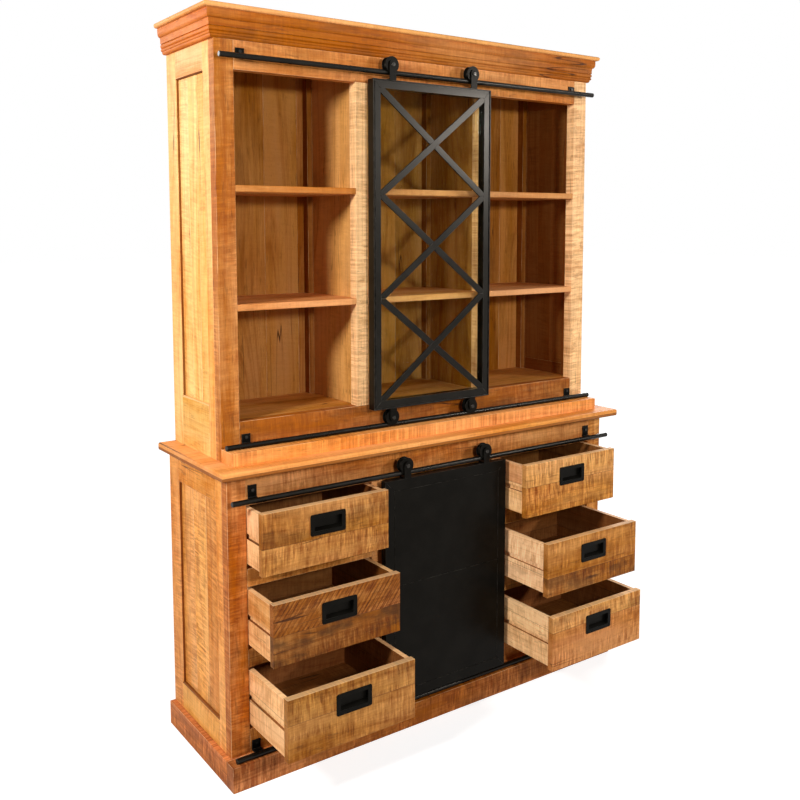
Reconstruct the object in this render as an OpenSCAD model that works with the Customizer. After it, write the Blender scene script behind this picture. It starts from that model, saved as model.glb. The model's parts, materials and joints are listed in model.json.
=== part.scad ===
// Dresser with a hutch: a lower case with six drawers and a sliding steel door, and an open
// shelved hutch with a sliding glazed door. Both doors roll on round rails, as barn doors do.
// X runs along the front, the front faces -Y and Z is up. The origin lies on the floor,
// under the middle of the plinth.

/* [Dresser case] */
// Width of the top board, the widest board of the dresser
top_w = 1600; // [1560:1:1800]
// Depth of the top board, from the back face
top_depth = 482; // [470:1:560]
// Thickness of the top board
top_t = 24; // [20:1:36]
// Height of the dresser's top surface above the floor
top_h = 941; // [880:1:1000]
// How far the top board reaches past each side of the case
top_side_reach = 36; // [20:1:50]
// How far the top board reaches past the front of the case
top_front_reach = 52; // [40:1:60]
// Radius of the top board's edges
top_edge_r = 6; // [2:0.5:8]
// Thickness of both face frames
frame_t = 36; // [28:1:40]
// Width of the outer upright of both face frames
stile_w = 60; // [50:1:80]
// Width of the middle bay, behind the doors
bay_w = 456; // [420:1:470]
// Width of the dresser's uprights beside the middle bay
mullion_w = 40; // [34:1:60]
// Height of the rail above the drawers
header_h = 93; // [86:1:110]
// Height of the rails between two drawers
drawer_rail_h = 54; // [30:1:64]
// Height of the rail below the drawers
bottom_rail_h = 73; // [66:1:90]
// Height of the plinth
plinth_h = 76; // [60:1:100]
// How far the plinth reaches past each side of the case
plinth_side_reach = 18; // [10:1:30]
// How far the plinth reaches past the front of the case
plinth_front_reach = 50; // [48:1:60]
// Thickness of the plinth's front board
plinth_board_t = 46; // [30:1:46]
// Width of the plinth's middle stretcher
stretcher_w = 50; // [40:1:80]

/* [Sides, backs and inner boards] */
// Thickness of the framed sides
side_t = 28; // [24:1:32]
// Width of a side's front upright, from the front of the case
side_front_stile_w = 80; // [70:1:100]
// Width of a side's rear upright
side_back_stile_w = 70; // [50:1:90]
// Height of the dresser side's lower rail
dresser_side_foot_h = 87; // [74:1:120]
// Height of the hutch side's lower rail
hutch_side_foot_h = 157; // [120:1:200]
// How far a side's panel lies behind its frame
panel_recess = 10; // [6:1:12]
// Width of the chamfer around a panel
panel_chamfer = 3; // [1:0.5:5]
// Number of boards in a side's panel
side_planks = 3; // [2:1:5]
// Thickness of the planked backs
back_t = 12; // [9:1:16]
// Number of boards in the planked backs
back_planks = 11; // [7:1:15]
// Width of the groove at a board joint
plank_groove = 2; // [1:0.5:3]
// Thickness of floors, roof and middle shelf
floor_t = 18; // [15:1:24]
// Thickness of the dresser's inner uprights
divider_t = 22; // [18:1:26]
// Thickness of the hutch's inner uprights
hutch_divider_t = 24; // [18:1:28]
// Width and height of the cleats under the middle shelf
cleat_size = 18; // [12:1:24]

/* [Drawers] */
// Space beside a drawer's front
drawer_side_gap = 2; // [1:0.5:4]
// Space above and below a drawer's front
drawer_height_gap = 3; // [1:0.5:5]
// Thickness of a drawer's front
drawer_front_t = 22; // [20:1:28]
// Radius of a drawer front's outer edges
drawer_edge_r = 2; // [1:0.5:4]
// Thickness of a drawer's sides
drawer_side_t = 16; // [14:1:20]
// Length of a drawer's sides
drawer_side_l = 368; // [340:1:376]
// Thickness of a drawer's back
drawer_back_t = 14; // [12:1:20]
// Thickness of a drawer's bottom
drawer_bottom_t = 8; // [5:1:10]
// How far a drawer's sides stop below the top of its front
drawer_side_drop = 5; // [1:1:10]
// How far a drawer's sides stop above the bottom of its front
drawer_side_lift = 12; // [6:1:16]
// Height of a drawer's bottom above the lower edge of its sides
drawer_bottom_lift = 8; // [6:1:14]
// How deep a drawer's bottom is let into the sides
drawer_bottom_let = 5; // [3:0.5:7]
// Distance from the top of a front to the middle of the runner groove
groove_drop = 88; // [70:1:100]
// Height of the runner groove
groove_h = 16; // [12:1:20]
// Depth of the runner groove
groove_depth = 8; // [5:0.5:9]
// Running gap above a runner
runner_top_gap = 0.3; // [0.2:0.1:0.8]
// Running gap below a runner
runner_bottom_gap = 0.7; // [0.3:0.1:1.5]
// Running gap at the end of a runner
runner_end_gap = 0.8; // [0.4:0.1:2]
// How far the left drawers stand open, from the top one down
left_open = [95, 156, 233]; // [0:1:300]
// How far the right drawers stand open, from the top one down
right_open = [131, 239, 266]; // [0:1:300]

/* [Drawer pulls] */
// Width of the pull's plate
pull_w = 120; // [100:1:140]
// Height of the pull's plate
pull_h = 64; // [50:1:76]
// Thickness of the pull's plate
pull_t = 2; // [1.5:0.1:3]
// Corner radius of the pull's plate
pull_corner_r = 6; // [3:0.5:10]
// Distance from the top of a front to the middle of its pull
pull_drop = 62; // [50:1:70]
// Width of the rim between the plate's edge and the cup's mouth
pull_rim = 13; // [11:0.5:16]
// Depth of the cup
pull_depth = 12; // [8:0.5:14]
// Wall thickness of the cup
pull_wall = 1.5; // [1:0.1:2]
// Size of the sloping lip at the foot of the cup
pull_lip = 8; // [4:0.5:12]
// Clearance of the cup in its pocket
pocket_gap = 0.3; // [0.2:0.1:1]

/* [Hutch case] */
// How far the hutch stands in from each side of the case below
hutch_inset = 21; // [10:1:30]
// Depth of the hutch
hutch_depth = 352; // [330:1:380]
// Height of the hutch without its crown
hutch_h = 1214; // [1100:1:1300]
// Height of the rail above the hutch's openings
hutch_header_h = 83; // [78:1:110]
// Height of the rail below the hutch's openings
hutch_foot_h = 113; // [100:1:140]
// Width of the hutch's uprights beside the middle bay
hutch_mullion_w = 44; // [34:1:60]
// Thickness of the hutch's shelves
shelf_t = 20; // [16:1:28]
// Number of shelves in each bay
shelf_count = 2; // [1:1:3]
// Radius of the shelves' front edges
shelf_edge_r = 3; // [1:0.5:6]
// Width of the battens in the rear corners of each bay
batten_w = 20; // [12:1:26]
// How far the battens stand out from the back
batten_t = 30; // [14:1:36]
// How far the hutch's back is set in from the rear
hutch_back_inset = 23; // [0:1:30]
// Height of the strip that lies in front of the hutch
strip_h = 39; // [30:1:44]
// Depth of the strip that lies in front of the hutch
strip_depth = 73; // [60:1:90]

/* [Crown] */
// Thickness of the moulding behind its profile
crown_wall = 22; // [16:1:30]
// How far the foot of the moulding reaches past the hutch's sides
crown_foot_reach = 7; // [7:0.5:12]
// How much less the crown reaches past the front than past the sides
crown_front_trim = 7; // [0:1:7]
// Height of the quarter round at the foot
quarter_h = 9; // [6:1:12]
// Reach of the quarter round at the foot
quarter_reach = 6; // [4:1:9]
// Height of the small bead
bead_h = 9; // [6:1:12]
// Reach of the small bead
bead_reach = 4; // [2:0.5:6]
// Height of the large bead
torus_h = 14; // [10:1:18]
// Reach of the large bead
torus_reach = 5; // [3:0.5:7]
// Height of the flat fillet
fillet_h = 7; // [4:1:10]
// Reach of the flat fillet
fillet_reach = 5; // [3:0.5:8]
// Height of the hollow
cove_h = 12; // [8:1:16]
// Reach of the hollow
cove_reach = 2; // [1:0.5:5]
// Height of the upper round
ovolo_h = 15; // [10:1:20]
// Reach of the upper round
ovolo_reach = 7; // [5:0.5:10]
// Height of the flat band under the slab
band_h = 12; // [8:1:16]
// Thickness of the slab
slab_t = 15; // [12:1:20]
// How far the slab reaches past the moulding
slab_reach = 11; // [6:1:16]

/* [Rails and wheels] */
// Diameter of the rails
rail_d = 16; // [12:1:18]
// Distance from the face of the case to the middle of a rail
rail_standoff = 34; // [30:1:38]
// Space between a lower rail and the ledge below it
rail_lift = 0.5; // [0.3:0.1:2]
// Height of the dresser's upper rail above the drawer openings
dresser_rail_rise = 22; // [16:1:26]
// Height of the hutch's upper rail above the hutch's openings
hutch_rail_rise = 33; // [28:1:40]
// Distance from the end of a rail to the middle of its bracket
bracket_inset = 79; // [60:1:100]
// Width of a bracket
bracket_w = 28; // [20:1:34]
// Thickness of a bracket
bracket_t = 4; // [3:0.5:6]
// Height of a bracket's tab above the middle of its rail
bracket_rise = 28; // [22:1:34]
// The same height for the dresser's upper rail
tall_bracket_rise = 38; // [30:1:44]
// Clearance of a rail in its brackets
saddle_gap = 0.1; // [0.05:0.05:0.3]
// Diameter of the bracket screws
screw_d = 5; // [4:0.5:6]
// Length of the bracket screws in the wood
screw_l = 25; // [15:1:28]
// Outer diameter of a wheel
wheel_d = 51; // [46:1:52]
// Width of a wheel
wheel_w = 22; // [18:1:24]
// Distance from a wheel's axle to the top of its rail
roll_r = 16; // [14:0.5:18]
// Running gap between a wheel's groove and its rail
wheel_gap = 0.3; // [0.2:0.1:0.6]
// Depth of the dish in a wheel's faces
dish_depth = 2.5; // [1:0.5:4]
// Diameter of the wheel axles
axle_d = 8; // [6:1:10]
// Radial running clearance of a wheel on its axle
axle_gap = 0.05; // [0.02:0.01:0.1]
// Distance from a door's middle to each of its wheels
wheel_x = 164; // [120:1:180]
// Width of a wheel strap
strap_w = 25; // [20:1:30]
// Thickness of a wheel strap
strap_t = 4; // [3:0.5:6]
// Space between a strap and its wheel
strap_gap = 1; // [0.5:0.1:2]
// Length of the foot that a strap has on its door
foot_l = 28; // [20:1:30]

/* [Glazed door] */
// Width of the glazed door
glass_door_w = 476; // [460:1:500]
// Distance from its upper rail down to the top of the door
glass_door_drop = 24; // [20:1:30]
// Depth of the door's frame
glass_door_t = 31; // [24:1:32]
// Width of the frame's bars
glass_bar_w = 28; // [24:1:40]
// Width of the thin raised rim around the frame
rim_w = 3; // [2:0.5:5]
// Width of the groove inside the rim
rim_groove_w = 4; // [2:0.5:6]
// Depth of the groove inside the rim
rim_groove_depth = 4; // [2:0.5:6]
// How far the bars' faces lie behind the rim
bar_set = 1; // [0.5:0.5:3]
// Width of the crossing bars
cross_w = 21; // [16:1:30]
// Thickness of the crossing bars
cross_t = 6; // [4:0.5:8]
// Number of stacked crosses
cross_count = 3; // [2:1:4]
// Thickness of the glass
pane_t = 4; // [3:0.5:6]
// Space between the crossing bars and the glass
pane_gap = 0.5; // [0.2:0.1:2]

/* [Steel door] */
// Width of the steel door
steel_door_w = 500; // [470:1:510]
// Distance from its upper rail down to the top of the door
steel_door_drop = 16; // [14:1:24]
// Height of the door's foot above its lower rail
steel_door_lift = 6.5; // [5:0.5:12]
// Depth of the door
steel_door_t = 24; // [18:1:26]
// Width of the door's visible border
steel_bar_w = 34; // [22:1:40]
// Width of the ledge behind the sheets
sheet_ledge = 8; // [5:1:12]
// Thickness of the sheets
sheet_t = 2; // [1.5:0.5:3]
// Width of the line around each sheet
sheet_gap = 1.2; // [0.6:0.1:2]
// Height of the lower sheet
lower_sheet_h = 350; // [300:1:380]
// Width of the rail behind the joint of the sheets
middle_bar_w = 30; // [20:1:40]
// Height of the guides that run behind the lower rail
guide_h = 17; // [12:1:19]

/* [Workmanship] */
// Gap between pieces of one assembly that meet
joint_gap = 0.2; // [0.1:0.05:0.4]
// Clearance of a screw in its hole
screw_gap = 0.05; // [0.02:0.01:0.1]

/* [Hidden] */
$fn = 48;
ROWS = 3;
ARC_STEPS = 8;

case_half = top_w / 2 - top_side_reach;
case_depth = top_depth - top_front_reach;
plinth_depth = case_depth + plinth_front_reach;
back_y = plinth_depth / 2;
case_front_y = back_y - case_depth;
case_inner_y = case_front_y + frame_t;
case_top = top_h - top_t;
opening_top = case_top - header_h;
opening_floor = plinth_h + bottom_rail_h;
drawer_opening_h = (opening_top - opening_floor - (ROWS - 1) * drawer_rail_h) / ROWS;
bay_half = bay_w / 2;
column_in = bay_half + mullion_w;
column_out = case_half - stile_w;
divider_x = bay_half + mullion_w / 2;
back_front_y = back_y - back_t;
panel_t = side_t - panel_recess;

drawer_half_w = (column_out - column_in) / 2 - drawer_side_gap;
drawer_x = (column_in + column_out) / 2;
drawer_front_h = drawer_opening_h - 2 * drawer_height_gap;
drawer_box_w = 2 * drawer_half_w;
mouth_w = pull_w - 2 * pull_rim;
mouth_h = pull_h - 2 * pull_rim;

hutch_half = case_half - hutch_inset;
hutch_front_y = back_y - hutch_depth;
hutch_inner_y = hutch_front_y + frame_t;
hutch_top = top_h + hutch_h;
bay_floor = top_h + hutch_foot_h;
bay_top = hutch_top - hutch_header_h;
bay_out = hutch_half - stile_w;
hutch_divider_x = bay_half + hutch_mullion_w / 2;
hutch_back_y = back_y - hutch_back_inset - back_t;
shelf_space = (bay_top - bay_floor - shelf_count * shelf_t) / (shelf_count + 1);

crown_front_y = hutch_front_y + crown_front_trim;
band_reach = crown_foot_reach + quarter_reach + fillet_reach + cove_reach + ovolo_reach;
crown_h = quarter_h + bead_h + torus_h + fillet_h + cove_h + ovolo_h + band_h;

rail_r = rail_d / 2;
dresser_rail_y = case_front_y - rail_standoff;
hutch_rail_y = hutch_front_y - rail_standoff;
dresser_upper_z = opening_top + dresser_rail_rise;
dresser_lower_z = plinth_h + rail_lift + rail_r;
hutch_upper_z = bay_top + hutch_rail_rise;
hutch_lower_z = top_h + strip_h + rail_lift + rail_r;
wheel_lift = rail_r + roll_r;
wheel_r = wheel_d / 2;
strap_back = wheel_w / 2 + strap_gap;
strap_front = strap_back + strap_t;
nut_t = axle_d * 0.6;
nut_r = axle_d * 0.9;
foot_screw_y = foot_l / 2 - strap_front;

glass_door_top = hutch_upper_z - glass_door_drop;
glass_door_foot = hutch_lower_z + wheel_lift + wheel_r + strap_gap / 2 + strap_t;
glass_door_y = hutch_rail_y - strap_front + 1;
field_half = glass_door_w / 2 - glass_bar_w;
field_foot = glass_door_foot + glass_bar_w;
field_top = glass_door_top - glass_bar_w;

steel_door_top = dresser_upper_z - steel_door_drop;
steel_door_foot = dresser_lower_z + rail_r + steel_door_lift;
steel_door_y = dresser_rail_y - strap_front + 1;
sheet_half = steel_door_w / 2 - steel_bar_w - sheet_gap;
sheet_foot = steel_door_foot + steel_bar_w + sheet_gap;
sheet_top = steel_door_top - steel_bar_w - sheet_gap;
seam_z = sheet_foot + lower_sheet_h + sheet_gap / 2;

WOOD = [0.80, 0.55, 0.31];
DARK_WOOD = [0.62, 0.38, 0.19];
STEEL = [0.10, 0.10, 0.11];
BRIGHT_STEEL = [0.30, 0.30, 0.32];
GLASS = [0.75, 0.85, 0.85, 0.4];

// ---- Shared shapes ----

// The range between two offsets from a place
function span(place, low, high) = [place + low, place + high];

// A range of the given width around a place
function around(place, width) = span(place, -width / 2, width / 2);

// A range drawn in at both ends
function inset(range, gap) = span(range[0], gap, range[1] - range[0] - gap);

// Points along an ellipse's arc
function arc(centre, radii, from, to) = [
    for (i = [0:ARC_STEPS])
        let (angle = from + (to - from) * i / ARC_STEPS)
        centre + [radii[0] * cos(angle), radii[1] * sin(angle)]
];

// A board that fills three ranges
module block(x, y, z) {
    translate([x[0], y[0], z[0]])
        cube([x[1] - x[0], y[1] - y[0], z[1] - z[0]]);
}

module both_sides() {
    children();
    mirror([1, 0, 0]) children();
}

// A rectangle with rounded corners, centred on the origin
module rounded_rectangle(w, h, r) {
    square([w - 2 * r, h], center = true);
    square([w, h - 2 * r], center = true);
    for (x = [-1, 1], y = [-1, 1])
        translate([x * (w / 2 - r), y * (h / 2 - r)]) circle(r = r);
}

// Half of a board's section: square at the start, rounded at the far end
module edge_section(length, t, r) {
    square([length - r, t]);
    translate([0, r]) square([length, t - 2 * r]);
    for (y = [r, t - r]) translate([length - r, y]) circle(r = r);
}

// A board rounded along its front and both ends, square along its back
module rounded_board(half_w, front_y, z, t, r) {
    depth = back_y - front_y;
    intersection() {
        translate([-half_w, back_y, z]) rotate([90, 0, 90])
            linear_extrude(2 * half_w) mirror([1, 0]) edge_section(depth, t, r);
        translate([0, back_y, z]) rotate([90, 0, 0])
            linear_extrude(depth) both_sides() edge_section(half_w, t, r);
    }
}

// A square bar on edge, which cuts a V groove or a chamfer along Z
module vee(x, y, z, w) {
    translate([x, y, (z[0] + z[1]) / 2]) rotate(45)
        cube([w / sqrt(2), w / sqrt(2), z[1] - z[0]], center = true);
}

// ---- Dresser ----

module dresser_plinth() {
    outer = case_half + plinth_side_reach;
    inner = case_half - side_t;
    front = -plinth_depth / 2;
    board_back = front + plinth_board_t;
    z = [0, plinth_h];
    bearer_y = [board_back + joint_gap, case_inner_y];
    rear_y = [back_y - side_t, back_y];
    color(DARK_WOOD) {
        block([-outer, outer], [front, board_back], z);
        block(inset([-inner, inner], joint_gap), bearer_y, z);
        block(inset([-inner, inner], joint_gap), rear_y, z);
        block(around(0, stretcher_w), inset([case_inner_y, rear_y[0]], joint_gap), z);
        both_sides() block([inner, outer], [board_back + joint_gap, back_y], z);
    }
}

module dresser_face_frame() {
    y = [case_front_y, case_inner_y];
    color(WOOD) {
        both_sides() {
            block([column_out, case_half], y, [plinth_h, case_top]);
            block([bay_half, column_in], y, inset([opening_floor, opening_top], joint_gap));
            for (row = [1:ROWS - 1])
                block(inset([column_in, column_out], joint_gap), y,
                    span(row_top(row), 0, drawer_rail_h));
        }
        difference() {
            x = column_out - joint_gap;
            union() {
                block([-x, x], y, [plinth_h, opening_floor]);
                block([-x, x], y, [opening_top, case_top]);
            }
            dresser_screw_holes();
        }
    }
}

module dresser_left_side() {
    mirror([1, 0, 0]) dresser_right_side();
}

module dresser_right_side() {
    framed_side(case_half, case_front_y, [plinth_h, case_top],
        [plinth_h + dresser_side_foot_h, opening_top]);
}

// A framed side: two uprights, two rails and a planked panel set back between them
module framed_side(half_w, front_y, z, window_z) {
    x = [half_w - side_t, half_w];
    window_y = [front_y + side_front_stile_w, back_y - side_back_stile_w];
    panel_x = span(half_w - panel_recess, -panel_t, 0);
    color(WOOD) difference() {
        union() {
            block(x, [front_y + frame_t, window_y[0]], z);
            block(x, [window_y[1], back_y], z);
            block(x, inset(window_y, joint_gap), [z[0], window_z[0]]);
            block(x, inset(window_y, joint_gap), [window_z[1], z[1]]);
        }
        for (y = window_y) vee(half_w, y, window_z, 2 * panel_chamfer);
        for (edge_z = window_z)
            translate([half_w, 0, edge_z]) rotate([-90, 0, 0])
                vee(0, 0, inset(window_y, joint_gap / 2), 2 * panel_chamfer);
    }
    color(WOOD) difference() {
        block(panel_x, inset(window_y, joint_gap), inset(window_z, joint_gap));
        for (i = [1:side_planks - 1])
            vee(panel_x[1], window_y[0] + i * (window_y[1] - window_y[0]) / side_planks,
                window_z, plank_groove);
    }
}

module dresser_dividers() {
    x = around(divider_x, divider_t);
    color(WOOD) both_sides() block(x, [case_inner_y, back_front_y], [opening_floor, case_top]);
}

// A back of upright boards, with a groove at each joint on both faces
module planked_back(half_w, front_y, z) {
    difference() {
        block([-half_w, half_w], [front_y, front_y + back_t], z);
        for (i = [1:back_planks - 1], y = [front_y, front_y + back_t])
            vee(half_w * (2 * i / back_planks - 1), y, z, plank_groove);
    }
}

module dresser_back() {
    color(WOOD) planked_back(case_half - side_t, back_front_y, [plinth_h, case_top]);
}

module dresser_floor() {
    x = case_half - side_t;
    color(WOOD) block([-x, x], [case_inner_y, back_front_y], span(opening_floor, -floor_t, 0));
}

// The middle shelf lies on a cleat at each end
module dresser_shelf() {
    x = divider_x - divider_t / 2;
    z = (opening_floor + opening_top) / 2;
    cleat_top = z - floor_t - joint_gap;
    y = [case_inner_y, back_front_y];
    color(WOOD) {
        block([-x, x], y, span(z, -floor_t, 0));
        both_sides() block(span(x, -cleat_size, 0), y, span(cleat_top, -cleat_size, 0));
    }
}

module dresser_top() {
    color(WOOD) rounded_board(top_w / 2, back_y - top_depth, case_top, top_t, top_edge_r);
}

// Height of the top of a row's drawer opening, counted from the top row down
function row_top(row) = opening_top - row * (drawer_opening_h + drawer_rail_h);

// Height of the top edge of a row's drawer front
function front_top(row) = row_top(row) - drawer_height_gap;

module drawer_runners() {
    y = [case_inner_y, back_front_y];
    reach = drawer_half_w - groove_depth + runner_end_gap;
    color(DARK_WOOD) both_sides() for (row = [0:ROWS - 1]) {
        middle = front_top(row) - groove_drop;
        z = [middle - groove_h / 2 + runner_bottom_gap, middle + groove_h / 2 - runner_top_gap];
        block([drawer_x + reach, case_half - side_t], y, z);
        block([divider_x + divider_t / 2, drawer_x - reach], y, z);
    }
}

// ---- Drawers ----

// Places a drawer's pieces: side is -1 or 1, and row counts from the top
module at_drawer(side, row) {
    open = side < 0 ? left_open : right_open;
    translate([side * drawer_x, case_front_y - open[row], front_top(row)]) children();
}

// A drawer's front has a pocket for the pull's cup and pilot holes for its screws
module drawer_front() {
    color(WOOD) difference() {
        intersection() {
            translate([-drawer_half_w, 0, 0]) rotate([90, 0, 90])
                linear_extrude(drawer_box_w) front_section(drawer_front_h);
            translate([0, 0, -drawer_front_h]) linear_extrude(drawer_front_h)
                translate([-drawer_half_w, 0]) rotate(-90) mirror([1, 0])
                    translate([0, drawer_box_w]) front_section(drawer_box_w);
        }
        translate([0, 0, -pull_drop]) {
            cup_w = mouth_w + 2 * (pull_wall + pocket_gap);
            cup_h = mouth_h + 2 * (pull_wall + pocket_gap);
            pocket = pull_depth + pull_wall + pocket_gap;
            block(around(0, cup_w), [-1, pocket], around(0, cup_h));
            pull_screw_holes();
        }
    }
}

// Section of a front, from its outer face: the two outer edges are rounded
module front_section(h) {
    r = drawer_edge_r;
    translate([r, -h]) square([drawer_front_t - r, h]);
    translate([0, r - h]) square([drawer_front_t, h - 2 * r]);
    for (y = [-r, r - h]) translate([r, y]) circle(r = r);
}

// Two grooved sides, a back and a bottom that is let into the sides
module drawer_box() {
    y = [drawer_front_t, drawer_front_t + drawer_side_l];
    z = [drawer_side_lift - drawer_front_h, -drawer_side_drop];
    inner = drawer_half_w - drawer_side_t;
    bottom_z = span(z[0] + drawer_bottom_lift, 0, drawer_bottom_t);
    slot_z = inset(bottom_z, -joint_gap);
    bottom_x = inner + drawer_bottom_let - joint_gap;
    color(WOOD) {
        both_sides() difference() {
            block([inner, drawer_half_w], y, z);
            block([drawer_half_w - groove_depth, drawer_half_w + 1], inset(y, -1),
                around(-groove_drop, groove_h));
            block([inner - 1, inner + drawer_bottom_let], inset(y, -1), slot_z);
        }
        block([-bottom_x, bottom_x], y, bottom_z);
        block(inset([-inner, inner], joint_gap), span(y[1], -drawer_back_t, 0), [slot_z[1], z[1]]);
    }
}

// A steel plate with a cup behind its mouth and a sloping lip at the cup's foot
module drawer_pull() {
    color(STEEL) translate([0, 0, -pull_drop]) {
        difference() {
            union() {
                rotate([90, 0, 0]) linear_extrude(pull_t)
                    rounded_rectangle(pull_w, pull_h, pull_corner_r);
                cup_shell(pull_wall, [0, pull_depth + pull_wall]);
            }
            cup_shell(0, [-pull_t - 1, pull_depth]);
            pull_screw_holes();
        }
        translate([-mouth_w / 2, 0, -mouth_h / 2]) rotate([90, 0, 90]) linear_extrude(mouth_w)
            polygon([[0, 0], [pull_depth, 0], [pull_depth, pull_lip]]);
        at_pull_screws() translate([0, 0, -screw_gap]) {
            cylinder(d = 2 * pull_t, h = pull_t + drawer_front_t / 2);
            translate([0, 0, -pull_t / 2]) cylinder(d = 3 * pull_t, h = pull_t / 2);
        }
    }
}

// The cup's outline, widened by a wall
module cup_shell(wall, y) {
    w = mouth_w / 2 + wall;
    h = mouth_h / 2 + wall;
    block([-w, w], y, [-h, h]);
}

// The four corners of the plate, each with Z pointing into the wood
module at_pull_screws() {
    x = (pull_w - pull_rim) / 2;
    z = (pull_h - pull_rim) / 2;
    for (i = [-1, 1], k = [-1, 1])
        translate([i * x, -pull_t, k * z]) rotate([-90, 0, 0]) children();
}

module pull_screw_holes() {
    at_pull_screws() translate([0, 0, -pull_t])
        cylinder(d = 2 * (pull_t + screw_gap), h = 2 * pull_t + drawer_front_t / 2 + screw_gap);
}

// ---- Hutch ----

module hutch_base_strip() {
    y = [hutch_front_y - strip_depth, hutch_front_y];
    color(WOOD) block([-hutch_half, hutch_half], y, span(top_h, 0, strip_h));
}

module hutch_face_frame() {
    y = [hutch_front_y, hutch_inner_y];
    color(WOOD) {
        both_sides() {
            block([bay_out, hutch_half], y, [top_h, hutch_top]);
            block([bay_half, bay_half + hutch_mullion_w], y,
                inset([bay_floor, bay_top], joint_gap));
        }
        difference() {
            x = bay_out - joint_gap;
            union() {
                block([-x, x], y, [top_h, bay_floor]);
                block([-x, x], y, [bay_top, hutch_top]);
            }
            hutch_screw_holes();
        }
    }
}

module hutch_left_side() {
    mirror([1, 0, 0]) hutch_right_side();
}

module hutch_right_side() {
    framed_side(hutch_half, hutch_front_y, [top_h, hutch_top],
        [top_h + hutch_side_foot_h, bay_top]);
}

module hutch_dividers() {
    x = around(hutch_divider_x, hutch_divider_t);
    z = [bay_floor, hutch_top - floor_t];
    color(WOOD) both_sides() block(x, [hutch_inner_y, hutch_back_y], z);
}

module hutch_back() {
    color(WOOD) planked_back(hutch_half - side_t, hutch_back_y, [top_h, hutch_top]);
}

// The inner faces that bound each bay of the hutch, from the left bay to the right one
function hutch_bays() =
    let (inner = hutch_divider_x - hutch_divider_t / 2)
    let (outer = hutch_divider_x + hutch_divider_t / 2)
    let (wall = hutch_half - side_t)
    [[-wall, -outer], [-inner, inner], [outer, wall]];

module hutch_battens() {
    y = span(hutch_back_y, -batten_t, 0);
    z = [bay_floor, hutch_top - floor_t];
    color(DARK_WOOD) for (bay = hutch_bays()) {
        block(span(bay[0], 0, batten_w), y, z);
        block(span(bay[1], -batten_w, 0), y, z);
    }
}

module hutch_floor() {
    x = hutch_half - side_t;
    color(WOOD) block([-x, x], [hutch_inner_y, hutch_back_y], span(bay_floor, -floor_t, 0));
}

module hutch_roof() {
    x = hutch_half - side_t;
    color(WOOD) block([-x, x], [hutch_inner_y, hutch_back_y], span(hutch_top, -floor_t, 0));
}

// Shelves run from the front of the face frame to the back, notched around the battens
module hutch_shelves() {
    openings = [[-bay_out, -bay_half - hutch_mullion_w], [-bay_half, bay_half],
        [bay_half + hutch_mullion_w, bay_out]];
    depth = hutch_back_y - hutch_front_y;
    color(WOOD) for (i = [0:2], level = [1:shelf_count]) {
        bay = hutch_bays()[i];
        z = bay_floor + level * shelf_space + (level - 1) * shelf_t;
        difference() {
            union() {
                block(bay, [hutch_inner_y + joint_gap, hutch_back_y], span(z, 0, shelf_t));
                x = inset(openings[i], joint_gap);
                translate([x[0], hutch_back_y, z]) rotate([90, 0, 90])
                    linear_extrude(x[1] - x[0]) mirror([1, 0])
                        edge_section(depth, shelf_t, shelf_edge_r);
            }
            for (x = bay)
                block(around(x, 2 * (batten_w + joint_gap)),
                    span(hutch_back_y, -batten_t - joint_gap, 1), span(z, -1, shelf_t + 1));
        }
    }
}

// ---- Crown ----

// The moulding's outline from its foot up, as reach past the case and height
function crown_profile() =
    let (foot = crown_foot_reach)
    let (step = foot + quarter_reach)
    let (fillet = step + fillet_reach)
    let (hollow = fillet + cove_reach)
    let (z1 = quarter_h)
    let (z2 = z1 + bead_h)
    let (z3 = z2 + torus_h)
    let (z4 = z3 + fillet_h)
    let (z5 = z4 + cove_h)
    let (z6 = z5 + ovolo_h)
    concat(
        arc([foot, z1], [quarter_reach, quarter_h], -90, 0),
        arc([step, z1 + bead_h / 2], [bead_reach, bead_h / 2], -80, 90),
        arc([step, z2 + torus_h / 2], [torus_reach, torus_h / 2], -80, 90),
        [[fillet, z3], [fillet, z4]],
        arc([hollow, z4], [cove_reach, cove_h], 170, 90),
        arc([hollow, z6], [ovolo_reach, ovolo_h], -80, 0),
        [[band_reach, crown_h]]
    );

// Solid section from an inner line out to the profile
module crown_section(depth) {
    polygon(concat([[-depth, crown_h], [-depth, 0]], crown_profile()));
}

// The crown seen from the front, with the profile at both ends
module crown_silhouette() {
    right = [for (p = crown_profile()) [hutch_half + p[0], p[1]]];
    left = [for (i = [len(right) - 1:-1:0]) [-right[i][0], right[i][1]]];
    polygon(concat(right, left));
}

// Three lengths that meet in mitres at the front corners
module crown_moulding() {
    depth = back_y - crown_front_y;
    inner_half = hutch_half - crown_wall;
    inner_front = crown_front_y + crown_wall;
    length = 2 * (hutch_half + band_reach);
    color(WOOD) translate([0, 0, hutch_top]) difference() {
        intersection() {
            translate([-length / 2, back_y, 0]) rotate([90, 0, 90])
                linear_extrude(length) mirror([1, 0]) translate([depth, 0]) crown_section(depth);
            translate([0, back_y, 0]) rotate([90, 0, 0])
                linear_extrude(depth + band_reach) crown_silhouette();
        }
        block([-inner_half, inner_half], [inner_front, back_y + 1], [-1, crown_h + 1]);
        both_sides() translate([hutch_half, crown_front_y, crown_h / 2]) rotate(-45)
            cube([4 * (crown_wall + band_reach), joint_gap, crown_h + 2], center = true);
    }
}

module crown_slab() {
    reach = band_reach + slab_reach;
    color(WOOD) rounded_board(hutch_half + reach, crown_front_y - reach, hutch_top + crown_h,
        slab_t, slab_t * 0.45);
}

// ---- Rails ----

// A rail with small bevels at its ends
module rail(half_l, y, z) {
    bevel = rail_r / 6;
    end = half_l - bevel;
    translate([0, y, z]) rotate([0, 90, 0]) rotate_extrude()
        polygon([[0, -half_l], [rail_r - bevel, -half_l], [rail_r, -end],
            [rail_r, end], [rail_r - bevel, half_l], [0, half_l]]);
}

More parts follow.
